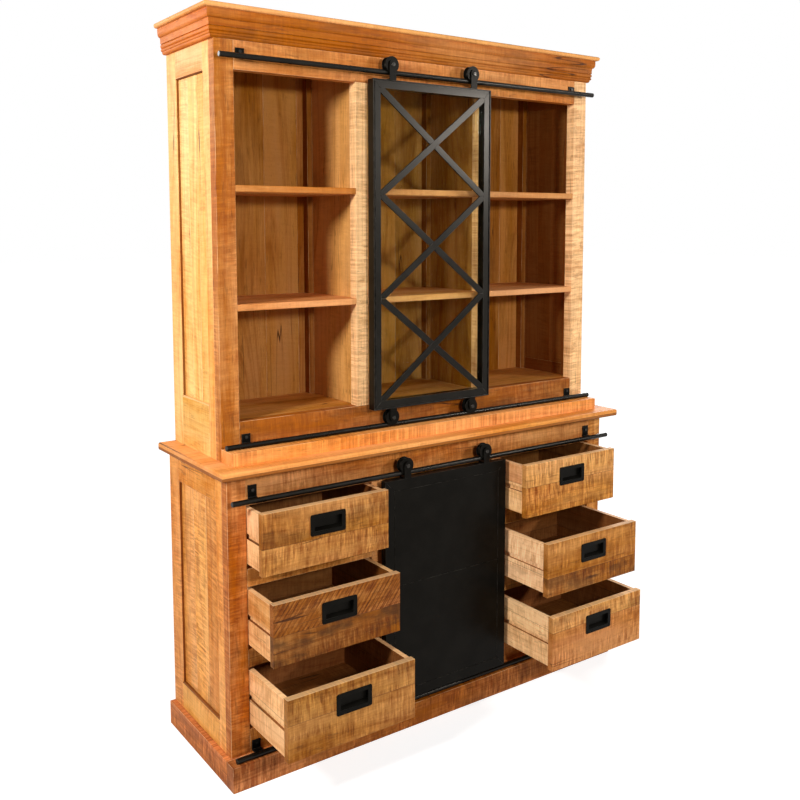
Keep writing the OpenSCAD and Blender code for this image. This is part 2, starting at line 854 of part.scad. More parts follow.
module hutch_rails() {
    color(STEEL) for (z = [hutch_lower_z, hutch_upper_z]) rail(hutch_half, hutch_rail_y, z);
}

module dresser_rails() {
    color(STEEL) for (z = [dresser_lower_z, dresser_upper_z])
        rail(case_half, dresser_rail_y, z);
}

// An L of flat bar: the tab is screwed to the case and the arm carries the rail
module rail_bracket(rise) {
    w = bracket_w / 2;
    arm = bracket_t / 2;
    difference() {
        union() {
            block([-w, w], span(rail_standoff, -bracket_t, 0), [-arm, rise]);
            block([-w, w], [0, rail_standoff - bracket_t / 2], [-arm, arm]);
        }
        rotate([0, 90, 0]) cylinder(r = rail_r + saddle_gap, h = 2 * bracket_w, center = true);
        bracket_screw_hole(rise);
    }
}

module bracket_screw_hole(rise) {
    translate([0, rail_standoff + screw_l + screw_gap, screw_height(rise)]) rotate([90, 0, 0])
        cylinder(d = screw_d + 2 * screw_gap, h = screw_l + 2 * bracket_t);
}

function screw_height(rise) = (rise + rail_r) / 2;

// The brackets' places; children get the tab's height in $rise
module at_dresser_brackets() {
    for (side = [-1, 1]) {
        x = side * (case_half - bracket_inset);
        translate([x, dresser_rail_y, dresser_lower_z]) at_rise(bracket_rise) children();
        translate([x, dresser_rail_y, dresser_upper_z]) at_rise(tall_bracket_rise) children();
    }
}

module at_hutch_brackets() {
    for (side = [-1, 1], z = [hutch_lower_z, hutch_upper_z])
        translate([side * (hutch_half - bracket_inset), hutch_rail_y, z])
            at_rise(bracket_rise) children();
}

module at_rise(rise) {
    $rise = rise;
    children();
}

module rail_brackets() {
    color(STEEL) {
        at_dresser_brackets() rail_bracket($rise);
        at_hutch_brackets() rail_bracket($rise);
    }
}

module dresser_screw_holes() {
    at_dresser_brackets() bracket_screw_hole($rise);
}

module hutch_screw_holes() {
    at_hutch_brackets() bracket_screw_hole($rise);
}

module rail_screw(rise) {
    translate([0, rail_standoff - bracket_t, screw_height(rise)]) rotate([-90, 0, 0]) {
        cylinder(d = screw_d, h = screw_l + bracket_t);
        translate([0, 0, -screw_d / 2]) cylinder(d = 2 * screw_d, h = screw_d / 2);
    }
}

module rail_screws() {
    color(BRIGHT_STEEL) {
        at_dresser_brackets() rail_screw($rise);
        at_hutch_brackets() rail_screw($rise);
    }
}

// ---- Door hardware ----

// A grooved wheel with a dish in both faces; its axle lies along Y
module wheel() {
    hub = axle_d;
    bore = axle_d / 2 + axle_gap;
    dish_r = wheel_lift - rail_r - 2 * dish_depth;
    rotate([90, 0, 0]) rotate_extrude() difference() {
        translate([bore, -wheel_w / 2]) square([wheel_r - bore, wheel_w]);
        translate([wheel_lift, 0]) circle(r = rail_r + wheel_gap);
        for (side = [-1, 1])
            translate([(hub + dish_r + dish_depth) / 2, side * wheel_w / 2])
                square([dish_r + dish_depth - hub, 2 * dish_depth], center = true);
    }
}

// A bent strap: a round-headed upright in front of the wheel and a foot on the door.
// The origin is the wheel's middle and the foot lies at the given drop below it.
module hanger(drop, screwed) {
    difference() {
        union() {
            translate([0, -strap_back, 0]) rotate([90, 0, 0]) linear_extrude(strap_t) {
                circle(d = strap_w);
                translate([-strap_w / 2, -drop]) square([strap_w, drop]);
            }
            block(around(0, strap_w), span(-strap_front, 0, foot_l), span(-drop, 0, strap_t));
        }
        rotate([90, 0, 0]) cylinder(r = axle_d / 2 + axle_gap, h = 2 * strap_front);
        if (screwed) foot_screw_hole(drop);
    }
}

module foot_screw_hole(drop) {
    translate([0, foot_screw_y, -drop - screw_l + strap_t])
        cylinder(d = screw_d + 2 * screw_gap, h = screw_l + 1);
}

module foot_screw(drop) {
    translate([0, foot_screw_y, -drop - screw_l + strap_t + screw_gap])
        cylinder(d = screw_d, h = screw_l - screw_gap);
}

// The axle is a bolt through strap and wheel, with a nut behind the wheel
module axle_bolt() {
    nut_y = wheel_w / 2 + strap_gap / 2;
    rotate([90, 0, 0]) {
        translate([0, 0, -nut_y - nut_t]) cylinder(d = axle_d, h = nut_y + nut_t + strap_front);
        translate([0, 0, strap_front]) cylinder(r1 = nut_r, r2 = nut_r * 0.8, h = nut_t * 0.8);
        translate([0, 0, -nut_y - nut_t]) difference() {
            cylinder(r = nut_r, h = nut_t, $fn = 6);
            translate([0, 0, -1]) cylinder(r = axle_d / 2 + axle_gap, h = nut_t + 2);
        }
    }
}

// A frame bar with mitred ends: its outer edge lies on Z and its section faces -Y
module mitred_bar(length, w, depth) {
    half = length / 2 - joint_gap;
    intersection() {
        translate([0, 0, -half]) linear_extrude(2 * half) children();
        translate([0, depth + 1, 0]) rotate([90, 0, 0]) linear_extrude(depth + 2)
            polygon([[0, -half], [w, w - half], [w, half - w], [0, half]]);
    }
}

// Four mitred bars around a door
module mitred_frame(width, front_y, z, w, depth) {
    middle = (z[0] + z[1]) / 2;
    both_sides() translate([-width / 2, front_y, middle])
        mitred_bar(z[1] - z[0], w, depth) children();
    for (upper = [0, 1])
        translate([0, front_y, z[upper]]) mirror([0, 0, upper]) rotate([0, -90, 0])
            mitred_bar(width, w, depth) children();
}

// Where a door's wheels are, given the heights of their middles
module at_wheels(rail_y, heights) {
    for (z = heights, side = [-1, 1]) translate([side * wheel_x, rail_y, z]) children();
}

// ---- Glazed door ----

glass_upper_wheel_z = hutch_upper_z + wheel_lift;
glass_lower_wheel_z = hutch_lower_z + wheel_lift;
glass_upper_drop = glass_upper_wheel_z - glass_door_top;
glass_lower_drop = glass_door_foot - glass_lower_wheel_z;

// A bar's section: a thin rim, a groove and the flat face
module glass_bar_section() {
    groove_end = rim_w + rim_groove_w;
    difference() {
        square([glass_bar_w, glass_door_t]);
        translate([rim_w, -1]) square([rim_groove_w, rim_groove_depth + 1]);
        translate([groove_end - 1, -1]) square([glass_bar_w, bar_set + 1]);
    }
}

module glass_door_frame() {
    color(STEEL) difference() {
        mitred_frame(glass_door_w, glass_door_y, [glass_door_foot, glass_door_top],
            glass_bar_w, glass_door_t) glass_bar_section();
        at_wheels(hutch_rail_y, [glass_upper_wheel_z]) foot_screw_hole(glass_upper_drop);
    }
}

// Stacked crosses: in each one a whole bar is crossed by two halves
module glass_door_bars() {
    cell_h = (field_top - field_foot) / cross_count;
    y = glass_door_y + bar_set;
    color(STEEL) for (i = [0:cross_count - 1])
        translate([0, y + cross_t, field_foot + (i + 0.5) * cell_h]) rotate([90, 0, 0])
            linear_extrude(cross_t) cross(2 * field_half - 2 * joint_gap, cell_h - joint_gap);
}

module cross(w, h) {
    angle = atan2(h, w);
    intersection() {
        square([w, h], center = true);
        rotate(angle) square([2 * w, cross_w], center = true);
    }
    difference() {
        intersection() {
            square([w, h], center = true);
            rotate(-angle) square([2 * w, cross_w], center = true);
        }
        rotate(angle) square([3 * w, cross_w + 2 * joint_gap], center = true);
    }
}

module glass_door_pane() {
    x = field_half - joint_gap;
    y = glass_door_y + bar_set + cross_t + pane_gap;
    z = inset([field_foot, field_top], joint_gap);
    color(GLASS) block([-x, x], [y, y + pane_t], z);
}

module glass_door_hangers() {
    color(STEEL) {
        at_wheels(hutch_rail_y, [glass_upper_wheel_z]) hanger(glass_upper_drop, true);
        at_wheels(hutch_rail_y, [glass_lower_wheel_z]) mirror([0, 0, 1])
            hanger(glass_lower_drop, false);
    }
}

module glass_door_bolts() {
    color(BRIGHT_STEEL) {
        at_wheels(hutch_rail_y, [glass_upper_wheel_z, glass_lower_wheel_z]) axle_bolt();
        at_wheels(hutch_rail_y, [glass_upper_wheel_z]) foot_screw(glass_upper_drop);
    }
}

module glass_door_wheel(side, z) {
    color(STEEL) translate([side * wheel_x, hutch_rail_y, z]) wheel();
}

// ---- Steel door ----

steel_wheel_z = dresser_upper_z + wheel_lift;
steel_drop = steel_wheel_z - steel_door_top;

// A bar's section: the visible face and a ledge behind the sheets
module steel_bar_section() {
    square([steel_bar_w, steel_door_t]);
    translate([0, sheet_t + joint_gap])
        square([steel_bar_w + sheet_ledge, steel_door_t - sheet_t - joint_gap]);
}

module steel_door_frame() {
    bar_w = steel_bar_w + sheet_ledge;
    x = steel_door_w / 2 - bar_w - joint_gap;
    y = [steel_door_y + sheet_t + joint_gap, steel_door_y + steel_door_t];
    color(STEEL) {
        difference() {
            mitred_frame(steel_door_w, steel_door_y, [steel_door_foot, steel_door_top],
                bar_w, steel_door_t) steel_bar_section();
            at_wheels(dresser_rail_y, [steel_wheel_z]) foot_screw_hole(steel_drop);
        }
        block([-x, x], y, around(seam_z, middle_bar_w));
    }
}

module steel_door_sheets() {
    y = [steel_door_y, steel_door_y + sheet_t];
    color(STEEL) {
        block([-sheet_half, sheet_half], y, span(sheet_foot, 0, lower_sheet_h));
        block([-sheet_half, sheet_half], y, [seam_z + sheet_gap / 2, sheet_top]);
    }
}

module steel_door_hangers() {
    color(STEEL) at_wheels(dresser_rail_y, [steel_wheel_z]) hanger(steel_drop, true);
}

// Plates under the door that run along the back of the lower rail
module steel_door_guides() {
    y = span(dresser_rail_y + rail_r + wheel_gap, 0, strap_t);
    color(STEEL) both_sides()
        block(around(wheel_x, strap_w), y, span(steel_door_foot, -guide_h, 0));
}

module steel_door_bolts() {
    color(BRIGHT_STEEL) at_wheels(dresser_rail_y, [steel_wheel_z]) {
        axle_bolt();
        foot_screw(steel_drop);
    }
}

module steel_door_wheel(side) {
    color(STEEL) translate([side * wheel_x, dresser_rail_y, steel_wheel_z]) wheel();
}

// ---- Nodes ----

dresser_plinth();
dresser_face_frame();
dresser_left_side();
dresser_right_side();
dresser_dividers();
dresser_back();
dresser_floor();
dresser_shelf();
dresser_top();
drawer_runners();
hutch_base_strip();
hutch_face_frame();
hutch_left_side();
hutch_right_side();
hutch_dividers();
hutch_back();
hutch_battens();
hutch_floor();
hutch_roof();
hutch_shelves();
crown_moulding();
crown_slab();
hutch_rails();
dresser_rails();
rail_brackets();
rail_screws();
glass_door_frame();
glass_door_bars();
glass_door_pane();
glass_door_hangers();
glass_door_bolts();
glass_door_wheel(-1, glass_upper_wheel_z);  // glass_door_wheel_1
glass_door_wheel(1, glass_upper_wheel_z);  // glass_door_wheel_2
glass_door_wheel(-1, glass_lower_wheel_z);  // glass_door_wheel_3
glass_door_wheel(1, glass_lower_wheel_z);  // glass_door_wheel_4
steel_door_frame();
steel_door_sheets();
steel_door_hangers();
steel_door_guides();
steel_door_bolts();
steel_door_wheel(-1);  // steel_door_wheel_1
steel_door_wheel(1);  // steel_door_wheel_2

for (side = [-1, 1], row = [0:ROWS - 1]) {
    name = str("drawer_", side < 0 ? "left" : "right", "_", row + 1);
    at_drawer(side, row) drawer_front();
    at_drawer(side, row) drawer_box();
    at_drawer(side, row) drawer_pull();
}
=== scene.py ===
# %% [markdown]
# # A dresser with a hutch
# The frame holds the cabinet's solids, each one in its place, in metres. X runs along the front,
# the front faces -Y and Z is up. This lesson gives those solids their looks: eased edges, boards
# with a grain of their own, black steel and glass. Nothing changes size or place on the way.

# %% Load the frame
import json
import math
import random

import bmesh
import bpy
from mathutils import Matrix, Vector

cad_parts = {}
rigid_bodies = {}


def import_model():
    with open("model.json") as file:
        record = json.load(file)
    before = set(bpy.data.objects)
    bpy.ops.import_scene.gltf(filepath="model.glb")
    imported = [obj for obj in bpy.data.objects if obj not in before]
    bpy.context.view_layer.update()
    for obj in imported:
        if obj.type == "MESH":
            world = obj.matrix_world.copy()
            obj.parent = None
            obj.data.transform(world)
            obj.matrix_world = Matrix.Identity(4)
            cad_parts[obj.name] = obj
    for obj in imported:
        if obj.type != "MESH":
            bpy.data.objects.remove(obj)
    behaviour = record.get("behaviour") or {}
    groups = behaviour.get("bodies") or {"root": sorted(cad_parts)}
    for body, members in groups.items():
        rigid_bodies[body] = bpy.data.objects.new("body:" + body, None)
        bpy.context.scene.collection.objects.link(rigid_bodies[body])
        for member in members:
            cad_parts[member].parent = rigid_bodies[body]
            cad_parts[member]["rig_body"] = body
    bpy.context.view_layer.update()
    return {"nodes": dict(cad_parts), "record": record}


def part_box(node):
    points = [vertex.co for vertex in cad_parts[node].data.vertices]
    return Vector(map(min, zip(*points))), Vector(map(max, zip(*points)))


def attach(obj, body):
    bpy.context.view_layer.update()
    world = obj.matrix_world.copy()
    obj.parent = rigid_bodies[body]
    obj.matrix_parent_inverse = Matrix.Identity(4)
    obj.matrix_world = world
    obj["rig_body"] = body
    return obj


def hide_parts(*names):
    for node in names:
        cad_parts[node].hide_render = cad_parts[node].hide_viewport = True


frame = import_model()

MM = 0.001
SLOT_OF = {part["node"]: part["material_slot"] for part in frame["record"]["subparts"]}
BODY_OF = {name: node["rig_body"] for name, node in frame["nodes"].items()}

# %% [markdown]
# ## Camera
# A camera is placed by an eye point and three directions: forward, right and down. The
# lens comes from a focal length in pixels. The upright lines of the cabinet lean only a little,
# because the camera tilts slightly down and the frame is shifted for the rest.

# %% Camera
PICTURE = 800
FOCAL, CENTRE = 933.4, (399.8, 312.0)
YAW, PITCH, ROLL = 0.6152, -0.0931, -0.0013
EYE = Vector((-1.8588, -2.5939, 1.6310))

forward = Vector((math.sin(YAW) * math.cos(PITCH), math.cos(YAW) * math.cos(PITCH), math.sin(PITCH)))
level_right = Vector((math.cos(YAW), -math.sin(YAW), 0))
level_down = forward.cross(level_right)
right = level_right * math.cos(ROLL) - level_down * math.sin(ROLL)
down = level_right * math.sin(ROLL) + level_down * math.cos(ROLL)

lens = bpy.data.cameras.new("camera")
lens.sensor_width = 36
lens.lens = FOCAL / PICTURE * lens.sensor_width
lens.shift_x = (PICTURE / 2 - CENTRE[0]) / PICTURE
lens.shift_y = (CENTRE[1] - PICTURE / 2) / PICTURE
lens.clip_start, lens.clip_end = 0.05, 200
camera = bpy.data.objects.new("camera", lens)
bpy.context.scene.collection.objects.link(camera)
axes = Matrix((right, -down, -forward)).transposed().to_4x4()
camera.matrix_world = Matrix.Translation(EYE) @ axes
bpy.context.scene.camera = camera
print("camera: lens", round(lens.lens, 2), "mm, shift", round(lens.shift_y, 3))

# %% [markdown]
# ## Shader trees in short words
# A tree of nodes is long to write by hand. This helper adds a node, fills its sockets with
# numbers or with other nodes' outputs, and gives back the output, so that a finish reads
# like a recipe. It works for shaders and for Geometry Nodes alike.

# %% A helper that writes node trees
def srgb(red, green, blue):
    """A colour as a screen shows it, 0 to 255, turned into the linear light that shaders use."""
    def linear(level):
        level /= 255
        return level / 12.92 if level <= 0.04045 else ((level + 0.055) / 1.055) ** 2.4
    return (linear(red), linear(green), linear(blue), 1.0)


class Recipe:
    """Writes nodes into one tree."""
    def __init__(self, tree):
        self.tree = tree

    def add(self, kind, sockets=None, output=0, **settings):
        """Adds a node and gives back one of its outputs, or the node itself where output is None."""
        node = self.tree.nodes.new(kind)
        for name, value in settings.items():
            setattr(node, name, value)
        for name, value in (sockets or {}).items():
            if isinstance(value, bpy.types.NodeSocket):
                self.tree.links.new(value, node.inputs[name])
            else:
                node.inputs[name].default_value = value
        return node.outputs[output] if output is not None else node

    def maths(self, operation, *values, clamp=False):
        return self.add("ShaderNodeMath", dict(enumerate(values)), operation=operation, use_clamp=clamp)

    def vector(self, operation, *values):
        output = "Value" if operation in ("LENGTH", "DOT_PRODUCT", "DISTANCE") else "Vector"
        return self.add("ShaderNodeVectorMath", dict(enumerate(values)), output, operation=operation)

    def join(self, x=0.0, y=0.0, z=0.0):
        return self.add("ShaderNodeCombineXYZ", {0: x, 1: y, 2: z})

    def split(self, vector):
        node = self.add("ShaderNodeSeparateXYZ", {0: vector}, None)
        return node.outputs[0], node.outputs[1], node.outputs[2]

    def noise(self, vector, detail=2.0, roughness=0.5, scale=1.0):
        return self.add("ShaderNodeTexNoise", {"Vector": vector, "Scale": scale, "Detail": detail,
                                               "Roughness": roughness}, 0)

    def ramp(self, value, low, high, start=0.0, end=1.0):
        """Start below low, end above high, and a soft step between them."""
        return self.add("ShaderNodeMapRange", {0: value, 1: low, 2: high, 3: start, 4: end},
                        interpolation_type="SMOOTHSTEP")

    def mix(self, amount, first, second, blend="MIX"):
        return self.add("ShaderNodeMix", {0: amount, 6: first, 7: second}, 2, data_type="RGBA",
                        blend_type=blend)

    def tint(self, colour, by):
        """A colour seen through another one."""
        return self.mix(1.0, colour, by, "MULTIPLY")

    def swing(self, value, size):
        """How far a value lies from a half, times a size."""
        return self.maths("MULTIPLY", self.maths("SUBTRACT", value, 0.5), size)


def sockets_of(tree, given, wanted):
    """Gives a node group its inputs, with first values where they matter, and its outputs."""
    for name, kind, value in given:
        socket = tree.interface.new_socket(name, in_out="INPUT", socket_type=kind)
        if value is not None:
            socket.default_value = value
    for name, kind in wanted:
        tree.interface.new_socket(name, in_out="OUTPUT", socket_type=kind)


def new_material(name):
    """An empty material and the recipe that fills it."""
    material = bpy.data.materials.new(name)
    material.use_nodes = True
    material.node_tree.nodes.clear()
    return material, Recipe(material.node_tree)


# %% [markdown]
# ## Light and floor
# A lamp stands high and close on the left, so the left sides are brightest and the bays are half
# in shade. A small lamp in front lights the fronts and looks into the bays. Another small one, far
# on the right, gives the wheels their shadows and the steel its sheen, and two wide ones behind
# keep the back readable. Rays from the camera, and those that gloss or glass send on, see a white
# room and a white floor. All the others meet a dim room and a grey floor.

# %% Lamps
def lamp(name, place, aim, watts, width):
    """A round lamp at a place, turned towards the point it is aimed at."""
    light = bpy.data.lights.new(name, "AREA")
    light.shape, light.size, light.energy = "DISK", width, watts
    holder = bpy.data.objects.new(name, light)
    holder.location = place
    holder.rotation_mode = "QUATERNION"
    holder.rotation_quaternion = (Vector(aim) - Vector(place)).to_track_quat("-Z", "Y")
    bpy.context.scene.collection.objects.link(holder)


lamp("left_lamp", (-3.1, -1.03, 2.45), (-0.7, 0.0, 1.1), 94, 0.55)
lamp("front_lamp", (-0.5, -3.5, 2.05), (0.0, -0.1, 1.15), 52, 0.3)
lamp("right_lamp", (3.15, -3.5, 2.45), (0.2, -0.1, 1.4), 84, 0.3)
lamp("back_left_lamp", (-2.4, 3.4, 2.6), (0.0, 0.2, 1.1), 50, 1.2)
lamp("back_right_lamp", (3.4, 1.8, 2.4), (0.7, 0.0, 1.1), 60, 1.2)
print("lamps:", ", ".join(light.name for light in bpy.data.lights))


# %% Room and floor
def seen_rays(recipe):
    """1 for rays from the camera and those that gloss or glass send on, and 0 for the others."""
    ray = recipe.add("ShaderNodeLightPath", output=None)
    seen = recipe.maths("ADD", ray.outputs["Is Camera Ray"], ray.outputs["Is Glossy Ray"])
    return recipe.maths("ADD", seen, ray.outputs["Is Transmission Ray"], clamp=True)


WHITE, GREY, DIM = (1, 1, 1, 1), (0.5, 0.5, 0.5, 1), (0.10, 0.10, 0.10, 1)
NEAR, NEAR_GLOW = 1.5, 0.72  # metres from the cabinet's middle, and the floor's glow up to there
FAR, FAR_GLOW = 4.5, 1.0

room = bpy.data.worlds.new("room")
bpy.context.scene.world = room
room.use_nodes = True
room.node_tree.nodes.clear()
recipe = Recipe(room.node_tree)
room_light = recipe.add("ShaderNodeBackground", {"Color": DIM, "Strength": 1.0})
room_sight = recipe.add("ShaderNodeBackground", {"Color": WHITE, "Strength": 1.0})
room_mix = recipe.add("ShaderNodeMixShader", {0: seen_rays(recipe), 1: room_light, 2: room_sight})
recipe.add("ShaderNodeOutputWorld", {"Surface": room_mix}, None)

floor_paint, recipe = new_material("floor_paint")
matt = recipe.add("ShaderNodeBsdfDiffuse", {"Color": GREY})
away = recipe.vector("LENGTH", recipe.add("ShaderNodeTexCoord", {}, "Object"))
glow = recipe.add("ShaderNodeEmission", {
    "Color": WHITE, "Strength": recipe.ramp(away, NEAR, FAR, NEAR_GLOW, FAR_GLOW)})
bright = recipe.add("ShaderNodeAddShader", {0: matt, 1: glow})
floor_mix = recipe.add("ShaderNodeMixShader", {0: seen_rays(recipe), 1: matt, 2: bright})
recipe.add("ShaderNodeOutputMaterial", {"Surface": floor_mix}, None)

floor_mesh = bpy.data.meshes.new("floor")
reach, level = 40, -0.5 * MM
floor_mesh.from_pydata([(-reach, -reach, level), (reach, -reach, level), (reach, reach, level),
                        (-reach, reach, level)], [], [(0, 1, 2, 3)])
floor_mesh.materials.append(floor_paint)
floor = bpy.data.objects.new("floor", floor_mesh)
bpy.context.scene.collection.objects.link(floor)
bpy.context.scene.view_settings.view_transform = "Standard"
print("stage: floor", 2 * reach, "m wide")

# %% [markdown]
# ## Wood
# Every board of the cabinet is rough-sawn hardwood, oiled to a warm orange. What the eye sees
# comes from inside the board: growth rings cut at an angle, fine fibres, a few knots. What the
# saw left lies across the grain. So the finish is worked out in each board's own coordinates,
# u along the grain, v across it and w through its thickness, which the board carries as an
# attribute (grain). Its other attributes are three numbers that set its colour (tone), how
# strongly it shows saw marks and stains and how the marks lean (marks), where it has end grain,
# an eased edge or a glue joint (trim), and painted light (inside): painted
# shade on a face that looks into a case or a drawer, or, below zero, a painted highlight on a rim.

# %% The board's own coordinates
LOTS = (37.0, 53.0, 41.0)  # tones are spread this far, so that no two boards share a pattern

TIMBER = bpy.data.node_groups.new("timber", "ShaderNodeTree")
paint, number = "NodeSocketColor", "NodeSocketFloat"
sockets_of(TIMBER, [("Pale", paint, None), ("Deep", paint, None), ("Dark", paint, None),
                    ("Knots", number, None)],
           [("Color", paint), ("Roughness", number), ("Height", number)])
r = Recipe(TIMBER)
given = r.add("NodeGroupInput", output=None).outputs
place, tone, marks, trim = [r.add("ShaderNodeAttribute", {}, "Vector", attribute_name=name)
                            for name in ("grain", "tone", "marks", "trim")]
inside = r.add("ShaderNodeAttribute", {}, "Fac", attribute_name="inside")
tone_a, tone_b, tone_c = r.split(tone)
saw_amount, stain_amount, lean = r.split(marks)
end_grain, eased_edge, joint = r.split(trim)
lot = r.vector("MULTIPLY", tone, LOTS)
away = r.vector("ADD", place, lot)
u, v, w = r.split(place)


def blotches(along, across, detail, roughness=0.5):
    """Noise that changes so many times a metre along the grain and across it."""
    return r.noise(r.vector("MULTIPLY", away, (along, across, across)), detail, roughness)


def report(step):
    """Says how far the group has grown."""
    print(f"{step}: the timber group has {len(TIMBER.nodes)} nodes")


report("coordinates")

# %% [markdown]
# ### Knots and growth rings
# A knot is a branch that the trunk grew round, so the grain bends about it. A few cells of a
# coarse pattern hold one each. The rings lie round the pith, the middle of the tree. Stripes
# painted on would fit one face only. Noise that follows the distance from the pith is worked out
# through the whole board, so the flames, stripes and end rings meet at its edges.

# %% Knots
KNOT_CELLS = (0.9, 4.5, 1.5)  # cells per metre along u, v and w, of which some hold a knot

in_cells = r.vector("MULTIPLY", away, KNOT_CELLS)
cells = r.add("ShaderNodeTexVoronoi", {"Vector": in_cells, "Scale": 1.0}, None, feature="F1")
off = r.vector("SUBTRACT", in_cells, cells.outputs["Position"])
off_u, off_v, off_w = r.split(r.vector("DIVIDE", off, KNOT_CELLS))
knot_far = r.vector("LENGTH", r.join(r.maths("MULTIPLY", off_u, 0.6), off_v,
                                     r.maths("MULTIPLY", off_w, 0.25)))
knot_far = r.maths("ADD", knot_far, r.swing(blotches(70.0, 70.0, 2.0), 0.008))
knotty = r.maths("LESS_THAN", r.split(cells.outputs["Color"])[0], given["Knots"])
near_knot = r.maths("MULTIPLY", knotty, r.ramp(knot_far, 0.0, 0.06, 1.0, 0.0))
bend = r.maths("MULTIPLY", r.maths("MULTIPLY", off_v, near_knot), 0.8)
report("knots")

# %% Growth rings
v_bent = r.maths("ADD", r.maths("SUBTRACT", v, bend), r.swing(blotches(1.1, 4.0, 2.0), 0.05))
w_bent = r.maths("ADD", w, r.swing(blotches(0.9, 3.0, 1.0), 0.16))
pith_v = r.swing(tone_b, 0.14)
pith_w = r.maths("ADD", r.maths("MULTIPLY", tone_c, 0.08), 0.02)
ring = r.vector("LENGTH", r.join(r.maths("SUBTRACT", v_bent, pith_v),
                                 r.maths("SUBTRACT", w_bent, pith_w)))
figure = r.noise(r.join(r.maths("MULTIPLY", ring, 120.0), r.maths("MULTIPLY", u, 0.5),
                        r.maths("MULTIPLY", tone_a, 19.0)), 3.0, 0.6)
side_face = r.maths("SUBTRACT", 1.0, r.maths("MULTIPLY", end_grain, 0.8))
line = r.maths("MULTIPLY", r.ramp(figure, 0.50, 0.66), side_face)
report("rings")

# %% [markdown]
# ### Fibres and colour
# Fibres, strokes and pores are the same noise, squeezed so that it runs in strands along the
# grain. Together with slow clouds they say how deep the oil went, and that picks a colour
# between the pale and the deep one. The board's three tone numbers shift its depth, its
# brightness and its hue, so that no two boards match.

# %% Fibres, pores and clouds
def strands(along, across):
    """The bent place, squeezed so that noise on it runs in strands along the grain."""
    return r.join(r.maths("MULTIPLY", u, along), r.maths("MULTIPLY", v_bent, across),
                  r.maths("MULTIPLY", w_bent, across))


fibre = r.noise(r.vector("ADD", strands(11.0, 190.0), lot), 4.0, 0.7)
stroke = r.ramp(r.noise(strands(15.0, 110.0), 3.0, 0.6), 0.59, 0.67)
pore = r.ramp(r.noise(strands(55.0, 900.0), 1.0), 0.62, 0.72)
cloud = blotches(1.6, 9.0, 3.0, 0.55)
report("fibres")

# %% Colour before the saw marks
BLEACHED, RING_TINT = srgb(255, 226, 178), srgb(206, 168, 128)

depth = r.maths("ADD", r.swing(tone_a, 0.75), 0.42)
mottle = r.maths("ADD", r.swing(blotches(42.0, 16.0, 4.0, 0.65), saw_amount), 0.5)
for layer, weight in ((figure, 0.5), (fibre, 1.3), (cloud, 2.4), (mottle, 2.6)):
    depth = r.maths("ADD", depth, r.swing(layer, weight))
colour = r.mix(r.maths("ADD", depth, 0.0, clamp=True), given["Pale"], given["Deep"])
warm = blotches(2.5, 6.0, 2.0)
colour = r.add("ShaderNodeHueSaturation", {
    "Hue": r.maths("ADD", r.maths("ADD", r.maths("MULTIPLY", tone_c, 0.014), 0.486),
                   r.maths("MULTIPLY", warm, 0.014)),
    "Saturation": r.maths("ADD", r.maths("MULTIPLY", cloud, 0.24), 0.90),
    "Value": r.maths("ADD", r.maths("MULTIPLY", tone_b, 0.20), 0.91), "Color": colour})
bleach = r.maths("MULTIPLY", r.maths("SUBTRACT", tone_b, 1.0), 0.45, clamp=True)
colour = r.mix(bleach, colour, BLEACHED)
colour = r.mix(r.maths("MULTIPLY", line, 0.34), colour, r.tint(colour, RING_TINT))
colour = r.mix(r.maths("MULTIPLY", r.maths("MULTIPLY", stroke, r.ramp(cloud, 0.42, 0.58)), 0.36),
               colour, given["Dark"])
colour = r.mix(r.maths("MULTIPLY", pore, 0.26), colour, given["Dark"])
report("colour")

# %% [markdown]
# ### Saw marks
# A saw leaves marks across the grain: crests, fine scorched lines, broad bands and, where it ran
# at a slant, deep even grooves. The crests are lightened as a painted highlight on the ridges.
# They lean a little and come and go in patches. Straight stripes would look printed, so all but
# the grooves are noise that is stretched across the board.

# %% Saw marks
# The crest tint lightens the saw's crests as a painted highlight
SCORCH_TINT, CREST_HIGHLIGHT_TINT = srgb(192, 150, 108), (1.34, 1.36, 1.42, 1)

saw_at = r.maths("ADD", u, r.maths("MULTIPLY", v, lean))
saw_at = r.maths("ADD", saw_at, r.maths("MULTIPLY", r.maths("MULTIPLY", v, v), 0.5))


def teeth(along, across, detail, roughness):
    """Noise in the shape of saw marks, so many a metre along the grain and across it."""
    at = r.join(r.maths("MULTIPLY", saw_at, along), r.maths("MULTIPLY", v, across), w)
    return r.noise(r.vector("ADD", at, lot), detail, roughness)


fine = teeth(150.0, 15.0, 2.0, 0.6)
coarse = teeth(80.0, 14.0, 3.0, 0.75)
broad = teeth(30.0, 7.0, 2.0, 0.6)
patch = blotches(4.0, 12.0, 4.0, 0.65)
groove_at = r.maths("ADD", r.maths("MULTIPLY", saw_at, 380.0), r.maths("MULTIPLY", mottle, 4.0))
groove = r.ramp(r.maths("SINE", groove_at), 0.25, 0.85)
groove = r.maths("MULTIPLY", groove, r.ramp(r.maths("ABSOLUTE", lean), 0.3, 0.5))
groove = r.maths("MULTIPLY", groove, r.ramp(patch, 0.36, 0.54, 0.45, 1.0))
# Painted highlight on the crests between the fine saw lines
crest_highlight = r.maths("MULTIPLY", r.ramp(fine, 0.38, 0.46, 1.0, 0.0), r.ramp(patch, 0.34, 0.50, 0.3, 1.0))
fine = r.maths("MULTIPLY", r.ramp(fine, 0.51, 0.58), r.ramp(patch, 0.38, 0.56, 0.25, 1.0))
coarse = r.maths("MULTIPLY", r.ramp(coarse, 0.55, 0.61), r.ramp(patch, 0.45, 0.56))
broad = r.maths("MULTIPLY", r.ramp(broad, 0.48, 0.66), r.ramp(patch, 0.40, 0.60))
sawn = r.maths("MULTIPLY", saw_amount, side_face)
colour = r.mix(r.maths("MULTIPLY", crest_highlight, sawn), colour, r.tint(colour, CREST_HIGHLIGHT_TINT))
scorched = r.tint(colour, SCORCH_TINT)
scorch = r.maths("ADD", r.maths("MULTIPLY", fine, 0.62), r.maths("MULTIPLY", broad, 0.42), clamp=True)
colour = r.mix(r.maths("MULTIPLY", scorch, sawn), colour, scorched)
